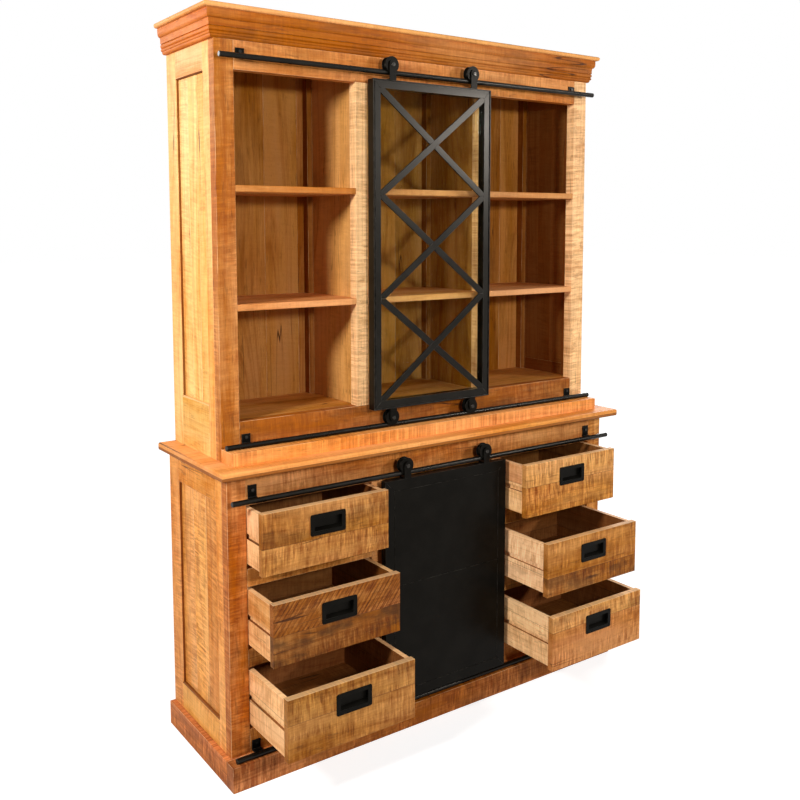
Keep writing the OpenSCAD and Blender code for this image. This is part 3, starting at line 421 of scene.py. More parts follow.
burn = r.maths("ADD", r.maths("MULTIPLY", coarse, 0.62), r.maths("MULTIPLY", groove, 0.68), clamp=True)
colour = r.mix(r.maths("MULTIPLY", burn, sawn), colour, r.mix(0.55, scorched, given["Dark"]))
saw = r.maths("MULTIPLY", r.maths("MAXIMUM", scorch, burn), sawn)
report("saw marks")

# %% [markdown]
# ### Stains, ends and edges
# Stains and cracks come and go, and a knot has a dark core in a warm halo. End grain drinks more
# oil and turns darker, a glue joint is a fine dark line, and eased edges are paler, partly from
# wear and partly as a painted highlight. Faces that look into a case or a drawer get painted
# shade, and the rims of the drawers a painted highlight.

# %% Stains, cracks and knots
KNOT_HALO, KNOT_CORE = srgb(150, 82, 38), srgb(58, 30, 14)

stain = r.maths("ADD", blotches(6.0, 15.0, 5.0, 0.62), r.maths("MULTIPLY", stain_amount, 0.10))
stain = r.maths("MULTIPLY", r.ramp(stain, 0.52, 0.70), stain_amount)
colour = r.mix(r.maths("MULTIPLY", stain, 0.75), colour, given["Dark"])
ridge = r.maths("ABSOLUTE", r.maths("SUBTRACT", blotches(0.9, 24.0, 1.5), 0.5))
rare = r.ramp(blotches(3.0, 7.0, 1.0), 0.61, 0.67)
crack = r.maths("MULTIPLY", r.ramp(ridge, 0.002, 0.008, 1.0, 0.0), rare)
knot = r.maths("MULTIPLY", knotty, r.ramp(knot_far, 0.006, 0.012, 1.0, 0.0))
halo = r.maths("MULTIPLY", knotty, r.ramp(knot_far, 0.008, 0.030, 1.0, 0.0))
colour = r.mix(r.maths("MULTIPLY", halo, 0.55), colour, KNOT_HALO)
colour = r.mix(r.maths("MULTIPLY", r.maths("MAXIMUM", knot, crack), 0.85), colour, KNOT_CORE)
report("stains")

# %% Ends, joints, edges and inner faces
# The pale edge colour is partly wear and partly a painted highlight
GLUE, END_TINT, WEAR_AND_HIGHLIGHT = srgb(70, 40, 20), srgb(200, 165, 130), srgb(255, 232, 190)
# Painted shade for faces that look into a case or a drawer, and a painted highlight for rims
PAINTED_SHADE_TINT, PAINTED_RIM_HIGHLIGHT = srgb(130, 96, 46), srgb(250, 212, 158)

seam = r.ramp(r.maths("ABSOLUTE", joint), 0.0003, 0.0012, 1.0, 0.0)
colour = r.mix(r.maths("MULTIPLY", seam, 0.55), colour, GLUE)
colour = r.mix(r.maths("MULTIPLY", end_grain, 0.30), colour, r.tint(colour, END_TINT))
# Eased edges are paler: partly wear, partly a painted highlight on the facets
edge_patches = r.ramp(blotches(9.0, 30.0, 3.0), 0.38, 0.60)
wear_and_highlight = r.maths("MULTIPLY", eased_edge, edge_patches)
colour = r.mix(r.maths("MULTIPLY", wear_and_highlight, 0.55), colour, r.mix(0.45, given["Pale"], WEAR_AND_HIGHLIGHT))

# Painted shade where the value is above zero, and a painted highlight on rims where it is below
colour = r.mix(r.maths("MULTIPLY", inside, 0.9, clamp=True), colour, r.tint(colour, PAINTED_SHADE_TINT))
colour = r.mix(r.maths("MULTIPLY", inside, -0.34, clamp=True), colour, PAINTED_RIM_HIGHLIGHT)
report("edges")

# %% Roughness and relief
rough = r.maths("ADD", r.maths("MULTIPLY", fibre, 0.22), 0.44)
rough = r.maths("ADD", rough, r.maths("MULTIPLY", saw, 0.12))
height = r.maths("MULTIPLY", fibre, 0.35)
for layer, weight in ((saw, -0.55), (crack, -1.0), (seam, -0.8), (pore, -0.15), (knot, -0.25)):
    height = r.maths("ADD", height, r.maths("MULTIPLY", layer, weight))
r.add("NodeGroupOutput", {"Color": colour, "Roughness": rough, "Height": height}, None)
report("relief")

# %% [markdown]
# ## The wood finishes
# The boards differ by where they sit: the hutch's sides are the palest, its crown the reddest,
# the drawers' own sides are hardly oiled. Each finish is the same timber with its own pale,
# deep and dark colours.

# %% Wood finishes
GLOSS, INNER_GLOSS = 0.13, 0.06
FINISHES = {
    # finish: pale, deep and dark colour, share of cells that hold a knot
    "frame_wood": ((226, 156, 86), (178, 106, 48), (86, 48, 20), 0.16),
    "side_wood": ((236, 166, 90), (196, 120, 52), (106, 60, 26), 0.22),
    "pale_side_wood": ((250, 194, 120), (224, 146, 74), (140, 84, 40), 0.10),
    "crown_wood": ((226, 138, 62), (182, 98, 38), (98, 54, 24), 0.22),
    "plinth_wood": ((218, 140, 72), (158, 92, 38), (74, 42, 20), 0.08),
    "top_wood": ((238, 166, 90), (204, 128, 62), (122, 74, 36), 0.10),
    "shelf_wood": ((232, 166, 100), (192, 120, 62), (110, 64, 32), 0.12),
    "drawer_front_wood": ((204, 142, 74), (152, 94, 40), (68, 40, 18), 0.14),
    "drawer_box_wood": ((242, 186, 128), (206, 142, 84), (124, 76, 40), 0.25),
    "inner_wood": ((200, 140, 70), (148, 92, 38), (68, 38, 14), 0.40),
}
finishes = {}
for finish_name, (pale, deep, dark, knots) in FINISHES.items():
    finish, recipe = new_material(finish_name)
    wood = recipe.add("ShaderNodeGroup", {}, None, node_tree=TIMBER)
    for socket, value in zip(("Pale", "Deep", "Dark"), (pale, deep, dark)):
        wood.inputs[socket].default_value = srgb(*value)
    wood.inputs["Knots"].default_value = knots
    relief = recipe.add("ShaderNodeBump", {"Strength": 0.7, "Distance": 0.8 * MM,
                                           "Height": wood.outputs["Height"]})
    shader = recipe.add("ShaderNodeBsdfPrincipled", {
        "Base Color": wood.outputs["Color"], "Roughness": wood.outputs["Roughness"],
        "Specular IOR Level": INNER_GLOSS if finish_name == "inner_wood" else GLOSS, "Normal": relief})
    recipe.add("ShaderNodeOutputMaterial", {"Surface": shader}, None)
    finishes[finish_name] = finish
print("wood finishes:", ", ".join(finishes))

# %% [markdown]
# ## Steel and glass
# The rails, doors and pulls are mild steel under a black coat. The coat is a little cloudy and is
# rubbed to a dark grey on the edges. It is matt on the steel door and the pulls, smoother on the
# glazed door, and polished by the wheels on the rails. The bolts are barely coated. The pane is
# plain float glass. It lets the lamps through, so that the shelves behind it are lit.

# %% Steel and glass finishes
STEEL_SHEEN = (1.0, 0.88, 0.74, 1)
STEELS = {
    # finish: colour of the coat and of rubbed edges, roughness, gloss
    "black_steel": ((8, 7, 5), (70, 66, 60), 0.34, 0.06),
    "satin_steel": ((7, 6, 4), (80, 76, 70), 0.30, 0.15),
    "rail_steel": ((8, 7, 5), (92, 87, 80), 0.28, 0.16),
    "bolt_steel": ((20, 18, 16), (130, 126, 120), 0.22, 0.30),
}


def steel_finish(name, coat, rubbed, roughness, gloss):
    """Coated steel; the coat is rubbed through where trim marks an eased edge."""
    material, r = new_material(name)
    place = r.add("ShaderNodeTexCoord", {}, "Object")
    trim = r.add("ShaderNodeAttribute", {}, "Vector", attribute_name="trim")
    cloud = r.noise(place, 4.0, 0.6, 14.0)
    grit = r.noise(place, 2.0, 0.5, 900.0)
    scratch = r.noise(r.vector("MULTIPLY", place, (30.0, 30.0, 420.0)), 2.0, 0.6)
    edge = r.maths("MULTIPLY", r.split(trim)[1], r.ramp(r.noise(place, 3.0, 0.6, 60.0), 0.35, 0.65))
    colour = r.mix(r.ramp(cloud, 0.35, 0.70), coat, r.mix(0.04, coat, rubbed))
    colour = r.mix(r.maths("MULTIPLY", edge, 0.7), colour, rubbed)
    rough = r.maths("ADD", r.swing(cloud, 0.08), roughness)
    rough = r.maths("ADD", rough, r.maths("MULTIPLY", r.ramp(scratch, 0.62, 0.72), 0.08))
    relief = r.add("ShaderNodeBump", {"Strength": 0.25, "Distance": 0.1 * MM, "Height": grit})
    shader = r.add("ShaderNodeBsdfPrincipled", {
        "Base Color": colour, "Roughness": rough, "Specular IOR Level": gloss,
        "Specular Tint": STEEL_SHEEN, "Normal": relief})
    r.add("ShaderNodeOutputMaterial", {"Surface": shader}, None)
    return material


for finish_name, (coat, rubbed, roughness, gloss) in STEELS.items():
    finishes[finish_name] = steel_finish(finish_name, srgb(*coat), srgb(*rubbed), roughness, gloss)

PANE_TINT, SHADOW_TINT = (0.63, 0.67, 0.64, 1), (0.88, 0.92, 0.88, 1)
pane_finish, recipe = new_material("pane_glass")
ray = recipe.add("ShaderNodeLightPath", output=None)
smear = recipe.noise(recipe.add("ShaderNodeTexCoord", {}, "Object"), 3.0, 0.5, 9.0)
pane = recipe.add("ShaderNodeBsdfPrincipled", {
    "Base Color": PANE_TINT, "Transmission Weight": 1.0, "IOR": 1.035,
    "Roughness": recipe.ramp(smear, 0.3, 0.8, 0.0, 0.02), "Specular IOR Level": 0.3})
through = recipe.add("ShaderNodeBsdfTransparent", {"Color": SHADOW_TINT})
pane_mix = recipe.add("ShaderNodeMixShader", {0: ray.outputs["Is Shadow Ray"], 1: pane, 2: through})
recipe.add("ShaderNodeOutputMaterial", {"Surface": pane_mix}, None)
finishes["pane_glass"] = pane_finish
print("steel and glass:", ", ".join(STEELS), "and pane_glass")

# %% [markdown]
# ## Easing the edges
# No sawn board and no bar of steel has a perfectly sharp edge. A joiner takes it off with two
# strokes of a sanding block, and that narrow facet is what catches the light. Each solid of the
# frame is copied, its triangles are joined into whole faces again, and its longer sharp edges
# get a small rounded bevel. The copy then stands for the node.

# %% Read a node's solids
WELD, FLAT = 0.002 * MM, 0.6  # points this near are one, and faces within so many degrees are flat


def read_node(name):
    """A node's faces, whole again."""
    bm = bmesh.new()
    bm.from_mesh(frame["nodes"][name].data)
    bmesh.ops.remove_doubles(bm, verts=bm.verts, dist=WELD)
    bmesh.ops.dissolve_limit(bm, angle_limit=math.radians(FLAT), verts=bm.verts, edges=bm.edges)
    return bm


def extent(points):
    """The low and high corner of a box round some points."""
    columns = list(zip(*points))
    return Vector([min(c) for c in columns]), Vector([max(c) for c in columns])


def box_of(solid):
    """The low and high corner of a box round some faces."""
    return extent(v.co for f in solid for v in f.verts)


def islands(bm):
    """Groups of faces that hang together, in an order that is the same each time."""
    found, seen_faces = [], set()
    for start in bm.faces:
        if start in seen_faces:
            continue
        group, queue = [], [start]
        seen_faces.add(start)
        while queue:
            face = queue.pop()
            group.append(face)
            for edge in face.edges:
                for other in edge.link_faces:
                    if other not in seen_faces:
                        seen_faces.add(other)
                        queue.append(other)
        found.append(group)
    return sorted(found, key=lambda solid: tuple(round(c, 4) for c in box_of(solid)[0]))


trial = read_node("dresser_face_frame")
print("dresser_face_frame:", len(trial.faces), "whole faces in", len(islands(trial)), "solids")
trial.free()

# %% Ease the edges
WOOD_CORNER, STEEL_CORNER = 25, 30  # degrees; sharper corners are eased


def ease(bm, width, shortest, sharp):
    """Bevels the sharp edges longer than shortest, and marks the new facets."""
    facet = bm.faces.layers.int.new("facet")
    edges = [e for e in bm.edges if len(e.link_faces) == 2 and e.calc_length() > shortest
             and math.degrees(e.calc_face_angle(0)) > sharp]
    made = bmesh.ops.bevel(bm, geom=edges, offset=width, offset_type="OFFSET", segments=2,
                           profile=0.5, affect="EDGES", clamp_overlap=True)
    for face in made["faces"]:
        face[facet] = 1
    return len(edges)


# %% Finish a piece
SMOOTH_UNDER = 50  # degrees; shading runs on over flatter edges
LARGE_FACES = 90  # 50 is neutral, and above it large faces count for more in the shading


def made_mesh(holder):
    """The plain mesh that an object's modifiers make."""
    bpy.context.view_layer.update()
    graph = bpy.context.evaluated_depsgraph_get()
    return bpy.data.meshes.new_from_object(holder.evaluated_get(graph), preserve_all_data_layers=True,
                                           depsgraph=graph)


def finish_piece(name, bm, material, body, replaced):
    """Turns the faces into a piece with even shading that rides on its body."""
    mesh = bpy.data.meshes.new(name)
    bm.to_mesh(mesh)
    bm.free()
    mesh.shade_smooth()
    mesh.set_sharp_from_angle(angle=math.radians(SMOOTH_UNDER))
    piece = bpy.data.objects.new(name, mesh)
    bpy.context.scene.collection.objects.link(piece)
    weigh = piece.modifiers.new("even_shading", "WEIGHTED_NORMAL")
    weigh.keep_sharp, weigh.weight = True, LARGE_FACES
    plain = made_mesh(piece)
    piece.modifiers.clear()
    piece.data = plain
    plain.name = name
    plain.materials.clear()
    plain.materials.append(material)
    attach(piece, body)
    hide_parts(*replaced)
    return piece


# %% [markdown]
# ## Giving each board its own coordinates
# A board's grain runs along its length, whichever way the board lies in the cabinet. So the
# longest side of each solid becomes u, the next v and the shortest w. Where one solid stands for
# several boards glued side by side, it is cut at the joints first. Each board then draws its
# numbers from a seed made of the node's name, so the result never changes, unless they are
# picked for it.

# %% Turn solids into boards
SHORTEST = 8 * MM  # edges of boards below this length stay sharp
HAIR = 0.01 * MM  # points this near a joint's plane lie on it
# A face gets painted shade when the heart lies farther than this in front of it
INWARD = 40 * MM  # a face is inside when the heart lies farther than this in front of it
ALONG_GRAIN, UPWARD = 0.7, 0.5  # a normal with more than this share of a direction points that way
LEAN = 0.12  # saw marks lean at most this much to either side
X, Y, Z = 0, 1, 2


def thickness(solid, axis):
    """How large a solid is along an axis."""
    low, high = box_of(solid)
    return high[axis] - low[axis]


def cut_solids(bm, axis, places, is_cut):
    """Cuts the faces of some solids at places along an axis, without parting them."""
    normal = Vector([float(i == axis) for i in range(3)])
    for place in places:
        faces = [f for solid in islands(bm) if is_cut(solid) for f in solid]
        edges = {e for f in faces for e in f.edges}
        verts = {v for f in faces for v in f.verts}
        bmesh.ops.bisect_plane(bm, geom=[*faces, *edges, *verts], dist=HAIR,
                               plane_co=normal * place, plane_no=normal)


def lumber(node, saw, stain=0.2, joints=None, along=None, tones=None, leans=None, stains=None,
           width=1.0 * MM, thin_only=None, heart=None, own=None, rim_highlight=-1.0):
    """Gives a node's solids their grain, colour and marks, as boards that stand for the node.

    joints is (axis, places) where the solids are cut into boards, and thin_only, (axis, limit),
    keeps that to thin solids. along forces the grain's axis. tones, leans and stains go by the
    board's number within its solid, and own by its number within the node. Faces that look
    towards heart, the middle of a case or a drawer, get painted shade; those on top of it are
    rims and get a painted highlight of the strength given for rims."""
    def is_cut(solid):
        return thin_only is None or thickness(solid, thin_only[0]) < thin_only[1]

    bm = read_node(node)
    eased = ease(bm, width, SHORTEST, WOOD_CORNER)
    axis, places = joints or (X, [])
    cut_solids(bm, axis, places, is_cut)
    facet = bm.faces.layers.int["facet"]
    grain = bm.loops.layers.float_vector.new("grain")
    trim = bm.loops.layers.float_vector.new("trim")
    tone = bm.faces.layers.float_vector.new("tone")
    marks = bm.faces.layers.float_vector.new("marks")
    inside = bm.faces.layers.float.new("inside")
    chance = random.Random(node)
    boards = 0
    for solid in islands(bm):
        # The boards of a solid lie between its ends and the joints
        low, high = box_of(solid)
        cuts = sorted(p for p in places if is_cut(solid) and low[axis] < p < high[axis])
        ends = [low[axis], *cuts, high[axis]]
        for number in range(len(ends) - 1):
            board_low, board_high = low.copy(), high.copy()
            if cuts:
                board_low[axis], board_high[axis] = ends[number], ends[number + 1]
            size = board_high - board_low
            order = sorted(range(3), key=lambda i: -size[i])
            if along is not None and (cuts or thin_only is None):
                order = [along] + [i for i in order if i != along]
            middle = (board_low + board_high) / 2

            # Each board draws its numbers, and picked ones take their place
            numbers = Vector([chance.random() for _ in range(3)])
            if tones and number < len(tones):
                numbers = Vector(tones[number])
            picked = own.get(boards) if own else None
            if picked:
                numbers = Vector(picked[:3])
            lean = leans[number] if leans else chance.uniform(-LEAN, LEAN)
            stained = stains[number] if stains else stain * chance.uniform(0.3, 1.0)
            sawn = Vector((saw * chance.uniform(0.75, 1.1), stained, lean))
            if picked and len(picked) > 3:
                sawn.x, sawn.y = picked[3:]

            for face in solid:
                place = face.calc_center_median()
                if cuts and not ends[number] - 2 * HAIR <= place[axis] <= ends[number + 1] + 2 * HAIR:
                    continue
                face[tone], face[marks] = numbers, sawn
                end = float(abs(face.normal[order[0]]) > ALONG_GRAIN)
                # Painted shade on faces that look towards the heart, and a painted highlight on upward faces
                # above it
                if heart is not None and face.normal.z < UPWARD:
                    face[inside] = float((heart - place).dot(face.normal) > INWARD)
                elif heart is not None:
                    face[inside] = rim_highlight if place.z > heart.z else 1.0
                for loop in face.loops:
                    offset = loop.vert.co - middle
                    loop[grain] = Vector([offset[i] for i in order])
                    seam = loop.vert.co[axis] - cuts[0] if len(cuts) == 1 else 1.0
                    loop[trim] = Vector((end, float(face[facet]), seam))
            boards += 1
    slot = SLOT_OF[node]
    finish_piece(node + "_boards", bm, finishes[slot], BODY_OF[node], [node])
    print(f"{node}: {boards} boards, {eased} eased edges")


# %% [markdown]
# ## The case boards
# Posts, rails, shelves and floors are one board each. The panels in the sides are boards glued
# side by side, and the top is two layers. A glue joint has no width, so it isn't modelled as a
# groove: the faces are only cut there, and each board gets a grain of its own.

# %% Boards of both cases
PANEL_LIMIT = 20 * MM  # of a side's solids only the panel is thinner than this
TOP_JOINT = 0.45  # how far up the top's edge its joint lies, from 0 to 1


def thirds(node):
    """The places along Y that part a side's panel, its one thin solid, into three boards."""
    bm = read_node(node)
    panel = [s for s in islands(bm) if thickness(s, X) < PANEL_LIMIT]
    low, high = box_of(panel[0])
    bm.free()
    return [low[Y] + (high[Y] - low[Y]) * i / 3 for i in (1, 2)]


# Tones of single boards: how deep, how bright, and how yellow rather than red; where two more
# numbers follow, they are the saw marks and the stains. Boards count in the order of islands.
PICKED = {
    "dresser_left_side": {0: (0.35, 0.95, 0.2), 4: (0.62, 0.30, 0.2, 0.5, 0.4),
                          5: (0.05, 0.95, 0.5, 0.7, 0.5), 6: (0.40, 0.55, 0.4, 0.5, 0.4)},
    "dresser_plinth": {0: (0.95, -0.3, 0.3)},
    "dresser_face_frame": {0: (0.75, 0.25, 0.1), 4: (0.75, 0.1, 0.3)},
    "hutch_face_frame": {0: (0.82, 0.10, 0.4), 1: (1.0, -0.35, 0.3, 0.5, 0.6), 2: (0.45, 0.60, 0.2),
                         3: (0.0, 2.1, 0.8, 0.5, 0.3), 4: (0.0, 1.8, 0.8, 0.5, 0.3),
                         5: (0.0, 2.1, 0.6, 0.6, 0.2)},
    "hutch_floor": {0: (0.2, 1.0, 0.4)},
    "hutch_dividers": {0: (0.0, 1.2, 0.6), 1: (0.8, -0.1, 0.6)},
    # The darker tone of battens 1, 3 and 5 is painted shade: they stand in shade in the bays' back corners
    "hutch_battens": {1: (0.9, -0.3, 0.2), 3: (0.9, -0.3, 0.2), 5: (0.9, -0.3, 0.2)},
    "crown_moulding": {0: (0.55, 0.45, 0.3), 1: (1.0, -0.25, 0.8, 0.2, 0.5)},
    "crown_slab": {0: (0.0, 1.5, 1.2)},
}
CASE_MIDDLE = Vector((0, 0, 1))
WORK = {
    # node: saw marks, stains
    "dresser_plinth": (0.8, 0.45), "dresser_face_frame": (0.65, 0.35),
    "dresser_dividers": (0.25, 0.3), "dresser_floor": (0.3, 0.3), "dresser_shelf": (0.3, 0.3),
    "drawer_runners": (0.4, 0.3), "hutch_base_strip": (0.6, 0.15),
    "hutch_face_frame": (0.55, 0.40), "hutch_dividers": (0.12, 0.20), "hutch_battens": (0.15, 0.2),
    "hutch_floor": (0.15, 0.2), "hutch_roof": (0.15, 0.3), "hutch_shelves": (0.15, 0.2),
    "crown_moulding": (0.12, 0.40), "crown_slab": (0.2, 0.2),
}
for side in ("left", "right"):
    for case, saw, stain in (("dresser", 0.50, 0.35), ("hutch", 0.30, 0.10)):
        name = f"{case}_{side}_side"
        lumber(name, saw, stain, joints=(Y, thirds(name)), along=Z,
               thin_only=(X, PANEL_LIMIT), heart=CASE_MIDDLE, own=PICKED.get(name))
top_low, top_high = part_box("dresser_top")
lumber("dresser_top", 0.22, 0.10, joints=(Z, [top_low.z + TOP_JOINT * (top_high.z - top_low.z)]),
       tones=((1.25, -1.6, 0.3),))  # picked for the lower layer only
for name, (saw, stain) in WORK.items():
    lumber(name, saw, stain, own=PICKED.get(name))

# %% [markdown]
# ## Drawers
# A drawer's front is two boards glued one above the other, cut from different planks, so the
# joint is plain to see. One of them was sawn at a slant. The sides are two boards as well. The
# fronts are what the eye compares, so their numbers are picked and not drawn.

# %% Drawer fronts and boxes
FRONTS = {
    # drawer: how far down the joint lies, tone of the upper and lower board, leans, stains
    "drawer_left_1": (0.565, ((0.52, 0.08, 0.4), (0.45, 0.20, 0.5)), (0.03, -0.05), (0.45, 0.10)),
    "drawer_left_2": (0.52, ((0.82, -0.20, 0.0), (1.05, -0.6, 0.3)), (-0.8, 0.1), (0.12, 1.0)),
    "drawer_left_3": (0.41, ((0.60, -0.10, 0.6), (0.60, -0.05, 0.3)), (0.05, 0.0), (0.35, 0.05)),
    "drawer_right_1": (0.43, ((0.00, 1.2, 0.6), (0.10, 1.0, 0.4)), (0.02, 0.04), (0.12, 0.35)),
    "drawer_right_2": (0.65, ((0.45, 0.5, 0.4), (0.80, 0.1, 0.2)), (0.0, 0.06), (0.20, 0.70)),
    "drawer_right_3": (0.29, ((0.10, 1.1, 0.6), (0.35, 0.7, 0.0)), (0.05, 0.0), (0.45, 0.10)),
}
# Tones of the two boards of each box's left side, lower and upper, written as in PICKED
BOXES = {
    "drawer_left_1": ((0.20, 0.80, 0.6), (0.25, 0.80, 0.3)),
    "drawer_left_2": ((0.45, 1.20, 0.3), (0.30, 0.50, 0.3)),
    "drawer_left_3": ((0.20, 0.80, 0.5), (0.15, 0.90, 0.4)),
    "drawer_right_1": ((0.15, 1.2, 0.6), (0.70, 0.60, 0.0)),
    "drawer_right_2": ((0.35, 1.8, 0.2, 0.6, 0.4), (0.35, 1.9, 0.2, 0.6, 0.3)),
    "drawer_right_3": ((0.30, 1.8, 0.5, 0.45, 0.2), (0.20, 1.9, 0.4, 0.45, 0.2)),
}
DRAWER_EASE = 0.8 * MM
BOX_JOINT_RISE = 8 * MM  # the joint in a box's sides lies this far above the one in its front
for drawer, (drop, tones, leans, stains) in FRONTS.items():
    low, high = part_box(drawer + "_front")
    joint = high.z - drop * (high.z - low.z)
    box_low, box_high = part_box(drawer + "_box")
    heart = (box_low + box_high) / 2
    # The fronts' top rims get a slightly stronger painted highlight than the boxes' rims
    lumber(drawer + "_front", 1.0, joints=(Z, [joint]), tones=tones[::-1], leans=leans[::-1],
           stains=stains[::-1], width=DRAWER_EASE, heart=heart, rim_highlight=-1.1)
    lower, upper = BOXES[drawer]
    lumber(drawer + "_box", 0.45, 0.20, joints=(Z, [joint + BOX_JOINT_RISE]), width=DRAWER_EASE,
           heart=heart, own={0: lower, 1: upper})

# %% [markdown]
# ## Planked backs
# The backs are upright boards of uneven width, each with its edges chamfered, laid side by
# side. That is a rule, so Geometry Nodes can build it: a row of points, a random share of the
# width for each, and a board with eight-sided section set on every point. The board's corner
# points hold only signs, and the tree moves them out to the true width.

# %% The tree that lays boards side by side
def plank_tree():
    """A row of chamfered boards with uneven widths that add up to the given one."""
    tree = bpy.data.node_groups.new("planks", "GeometryNodeTree")
    number, length, finish = "NodeSocketInt", "NodeSocketFloat", "NodeSocketMaterial"
    sockets_of(tree, [
        ("Board", "NodeSocketGeometry", None), ("Boards", number, 11), ("Width", length, 1.4),
        ("Thickness", length, 0.012), ("Height", length, 1.2), ("Chamfer", length, 0.001),
        ("Saw", length, 0.3), ("Stain", length, 0.2), ("Seed", number, 1), ("Finish", finish, None),
    ], [("Planks", "NodeSocketGeometry")])
    r = Recipe(tree)
    given = r.add("NodeGroupInput", output=None).outputs

    def chance(low, high, salt, data_type="FLOAT"):
        """A random value for each board; salt keeps one draw apart from another."""
        sockets = {"Seed": r.add("FunctionNodeIntegerMath", {0: given["Seed"], 1: salt}, operation="ADD")}
        if data_type == "FLOAT":
            sockets.update({2: low, 3: high})
            return r.add("FunctionNodeRandomValue", sockets, 1, data_type=data_type)
        sockets.update({0: low, 1: high})
        return r.add("FunctionNodeRandomValue", sockets, 0, data_type=data_type)

    def keep(geometry, name, value, data_type="FLOAT", domain="POINT"):
        """Stores a value under a name."""
        return r.add("GeometryNodeStoreNamedAttribute", {"Geometry": geometry, "Name": name, "Value": value},
                     data_type=data_type, domain=domain)

    def kept(name, data_type="FLOAT"):
        """The value stored under a name."""
        return r.add("GeometryNodeInputNamedAttribute", {"Name": name}, 0, data_type=data_type)

    row = r.add("GeometryNodeMeshLine", {"Count": given["Boards"]}, mode="OFFSET")
    row = keep(row, "share", chance(0.62, 1.38, 1))
    share = r.add("GeometryNodeAccumulateField", {"Value": kept("share")}, None, data_type="FLOAT")
    scale = r.maths("DIVIDE", given["Width"], share.outputs["Total"])
    half = r.maths("MULTIPLY", r.maths("MULTIPLY", kept("share"), scale), 0.5)
    middle = r.maths("ADD", r.maths("MULTIPLY", share.outputs["Trailing"], scale), half)
    middle = r.maths("SUBTRACT", middle, r.maths("MULTIPLY", given["Width"], 0.5))
    row = keep(keep(row, "half", half), "middle", middle)
    row = keep(row, "tone", chance((0, 0, 0), (1, 1, 1), 2, "FLOAT_VECTOR"), "FLOAT_VECTOR")
    strength = r.join(given["Saw"], r.maths("MULTIPLY", given["Stain"], chance(0.3, 1.0, 3)),
                      chance(-0.1, 0.1, 4))
    row = keep(row, "marks", strength, "FLOAT_VECTOR")
    boards = r.add("GeometryNodeInstanceOnPoints", {"Points": row, "Instance": given["Board"]})
    boards = r.add("GeometryNodeRealizeInstances", {"Geometry": boards})

    corner = r.split(kept("corner", "FLOAT_VECTOR"))

    def stretch(value, size):
        """Outer corners, at 2, reach the size, and inner ones, at 1, stop a chamfer short."""
        short = r.maths("MULTIPLY", r.maths("SUBTRACT", 2.0, r.maths("ABSOLUTE", value)), given["Chamfer"])
        return r.maths("MULTIPLY", r.maths("SIGN", value), r.maths("SUBTRACT", size, short))

    across = stretch(corner[0], kept("half"))
    through = stretch(corner[1], r.maths("MULTIPLY", given["Thickness"], 0.5))
    upward = stretch(corner[2], r.maths("MULTIPLY", given["Height"], 0.5))
    boards = keep(boards, "grain", r.join(upward, across, through), "FLOAT_VECTOR")
    boards = r.add("GeometryNodeSetPosition", {
        "Geometry": boards, "Position": r.join(r.maths("ADD", across, kept("middle")), through, upward)})
    boards = r.add("GeometryNodeSetMaterial", {"Geometry": boards, "Material": given["Finish"]})
    r.add("NodeGroupOutput", {"Planks": boards}, None)
    return tree


PLANKS = plank_tree()
print("plank tree:", len(PLANKS.nodes), "nodes")


# %% The board that the tree repeats
def board_template():
    """A board as signs only: an eight-sided section, with 2 at the outer and 1 at the inner corners."""
    section = [(2, 1), (1, 2), (-1, 2), (-2, 1), (-2, -1), (-1, -2), (1, -2), (2, -1)]
    bm = bmesh.new()
    corner = bm.verts.layers.float_vector.new("corner")
    trim = bm.faces.layers.float_vector.new("trim")
    rings = []
    for z in (-2, 2):
        ring = []
        for x, y in section:
            vert = bm.verts.new((x, y, z))
            vert[corner] = Vector((x, y, z))
            ring.append(vert)
        rings.append(ring)
    bm.faces.new(rings[0])[trim] = Vector((1, 0, 1))
    bm.faces.new(rings[1][::-1])[trim] = Vector((1, 0, 1))
    for i in range(8):
        a, b = i, (i + 1) % 8
        face = bm.faces.new((rings[0][b], rings[0][a], rings[1][a], rings[1][b]))
        face[trim] = Vector((0, float(i % 2 == 0), 1))
    mesh = bpy.data.meshes.new("board_template")
    bm.to_mesh(mesh)
    bm.free()
    return mesh


# %% Planked backs
def run_tree(name, mesh, tree, values):
    """Puts a tree on a mesh as a modifier, and gives back the plain mesh it makes."""
    holder = bpy.data.objects.new(name, mesh)
    bpy.context.scene.collection.objects.link(holder)
    modifier = holder.modifiers.new(name, "NODES")
    modifier.node_group = tree
    names = {item.name: item.identifier for item in tree.interface.items_tree
             if item.item_type == "SOCKET" and item.in_out == "INPUT"}
    for key, value in values.items():
        modifier[names[key]] = value
    bpy.context.view_layer.update()
    plain = made_mesh(holder)
    holder.modifiers.clear()
    bpy.data.objects.remove(holder)
    return plain


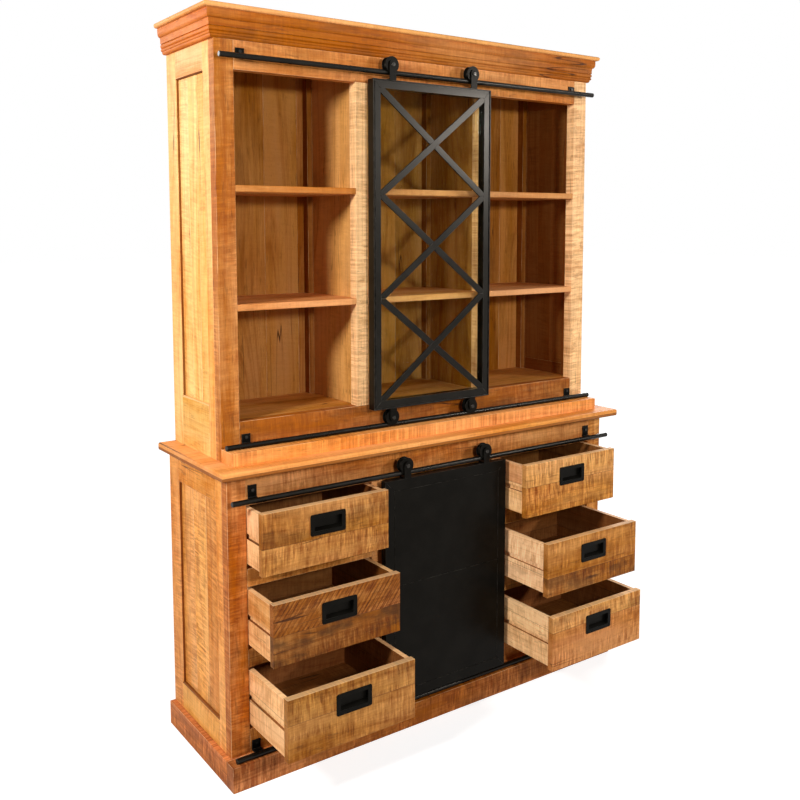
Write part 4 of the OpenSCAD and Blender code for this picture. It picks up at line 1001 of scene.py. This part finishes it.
BOARDS, CHAMFER = 11, 1.2 * MM
for node, seed in (("hutch_back", 4), ("dresser_back", 9)):
    low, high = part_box(node)
    plain = run_tree(node + "_planks", board_template(), PLANKS, {
        "Boards": BOARDS, "Width": high.x - low.x, "Thickness": high.y - low.y,
        "Height": high.z - low.z, "Chamfer": CHAMFER, "Saw": 0.08, "Stain": 0.35, "Seed": seed,
        "Finish": finishes["inner_wood"]})
    plain.transform(Matrix.Translation((low + high) / 2))
    piece = bpy.data.objects.new(node + "_planks", plain)
    bpy.context.scene.collection.objects.link(piece)
    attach(piece, BODY_OF[node])
    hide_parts(node)
    print(piece.name, len(plain.polygons), "faces in", BOARDS, "boards")

# %% [markdown]
# ## Steel
# Bars, straps and wheels get a finer eased edge than the boards. The facets made by the easing
# are marked, and the black coat is rubbed thin there. A wheel's or a bolt's edges are short, so
# theirs are eased down to a millimetre's length.

# %% Steel pieces
OWN_STEEL = {"glass_door_frame": "satin_steel", "glass_door_bars": "satin_steel",
             "hutch_rails": "rail_steel", "dresser_rails": "rail_steel"}
# How wide the eased edge is, and the length below which an edge stays sharp
FINE, PLAIN, PULL = (0.4 * MM, 1.0 * MM), (0.6 * MM, 4.0 * MM), (0.5 * MM, 3.0 * MM)


def steelwork(node, width, shortest):
    """Steel with eased edges that stands for a node."""
    bm = read_node(node)
    eased = ease(bm, width, shortest, STEEL_CORNER)
    facet = bm.faces.layers.int["facet"]
    trim = bm.loops.layers.float_vector.new("trim")
    for face in bm.faces:
        for loop in face.loops:
            loop[trim] = Vector((0, float(face[facet]), 1))
    slot = SLOT_OF[node]
    finish = finishes[OWN_STEEL.get(node, slot)]
    piece = finish_piece(node + "_steel", bm, finish, BODY_OF[node], [node])
    print(f"{piece.name}: {len(piece.data.polygons)} faces, {eased} eased edges")


for name, slot in SLOT_OF.items():
    if slot in ("black_steel", "bolt_steel"):
        small = any(word in name for word in ("wheel", "bolts", "screws")) or name.endswith("rails")
        steelwork(name, *(PULL if name.endswith("_pull") else FINE if small else PLAIN))

pane_node = frame["nodes"]["glass_door_pane"]
pane_node.data.materials.clear()
pane_node.data.materials.append(finishes["pane_glass"])
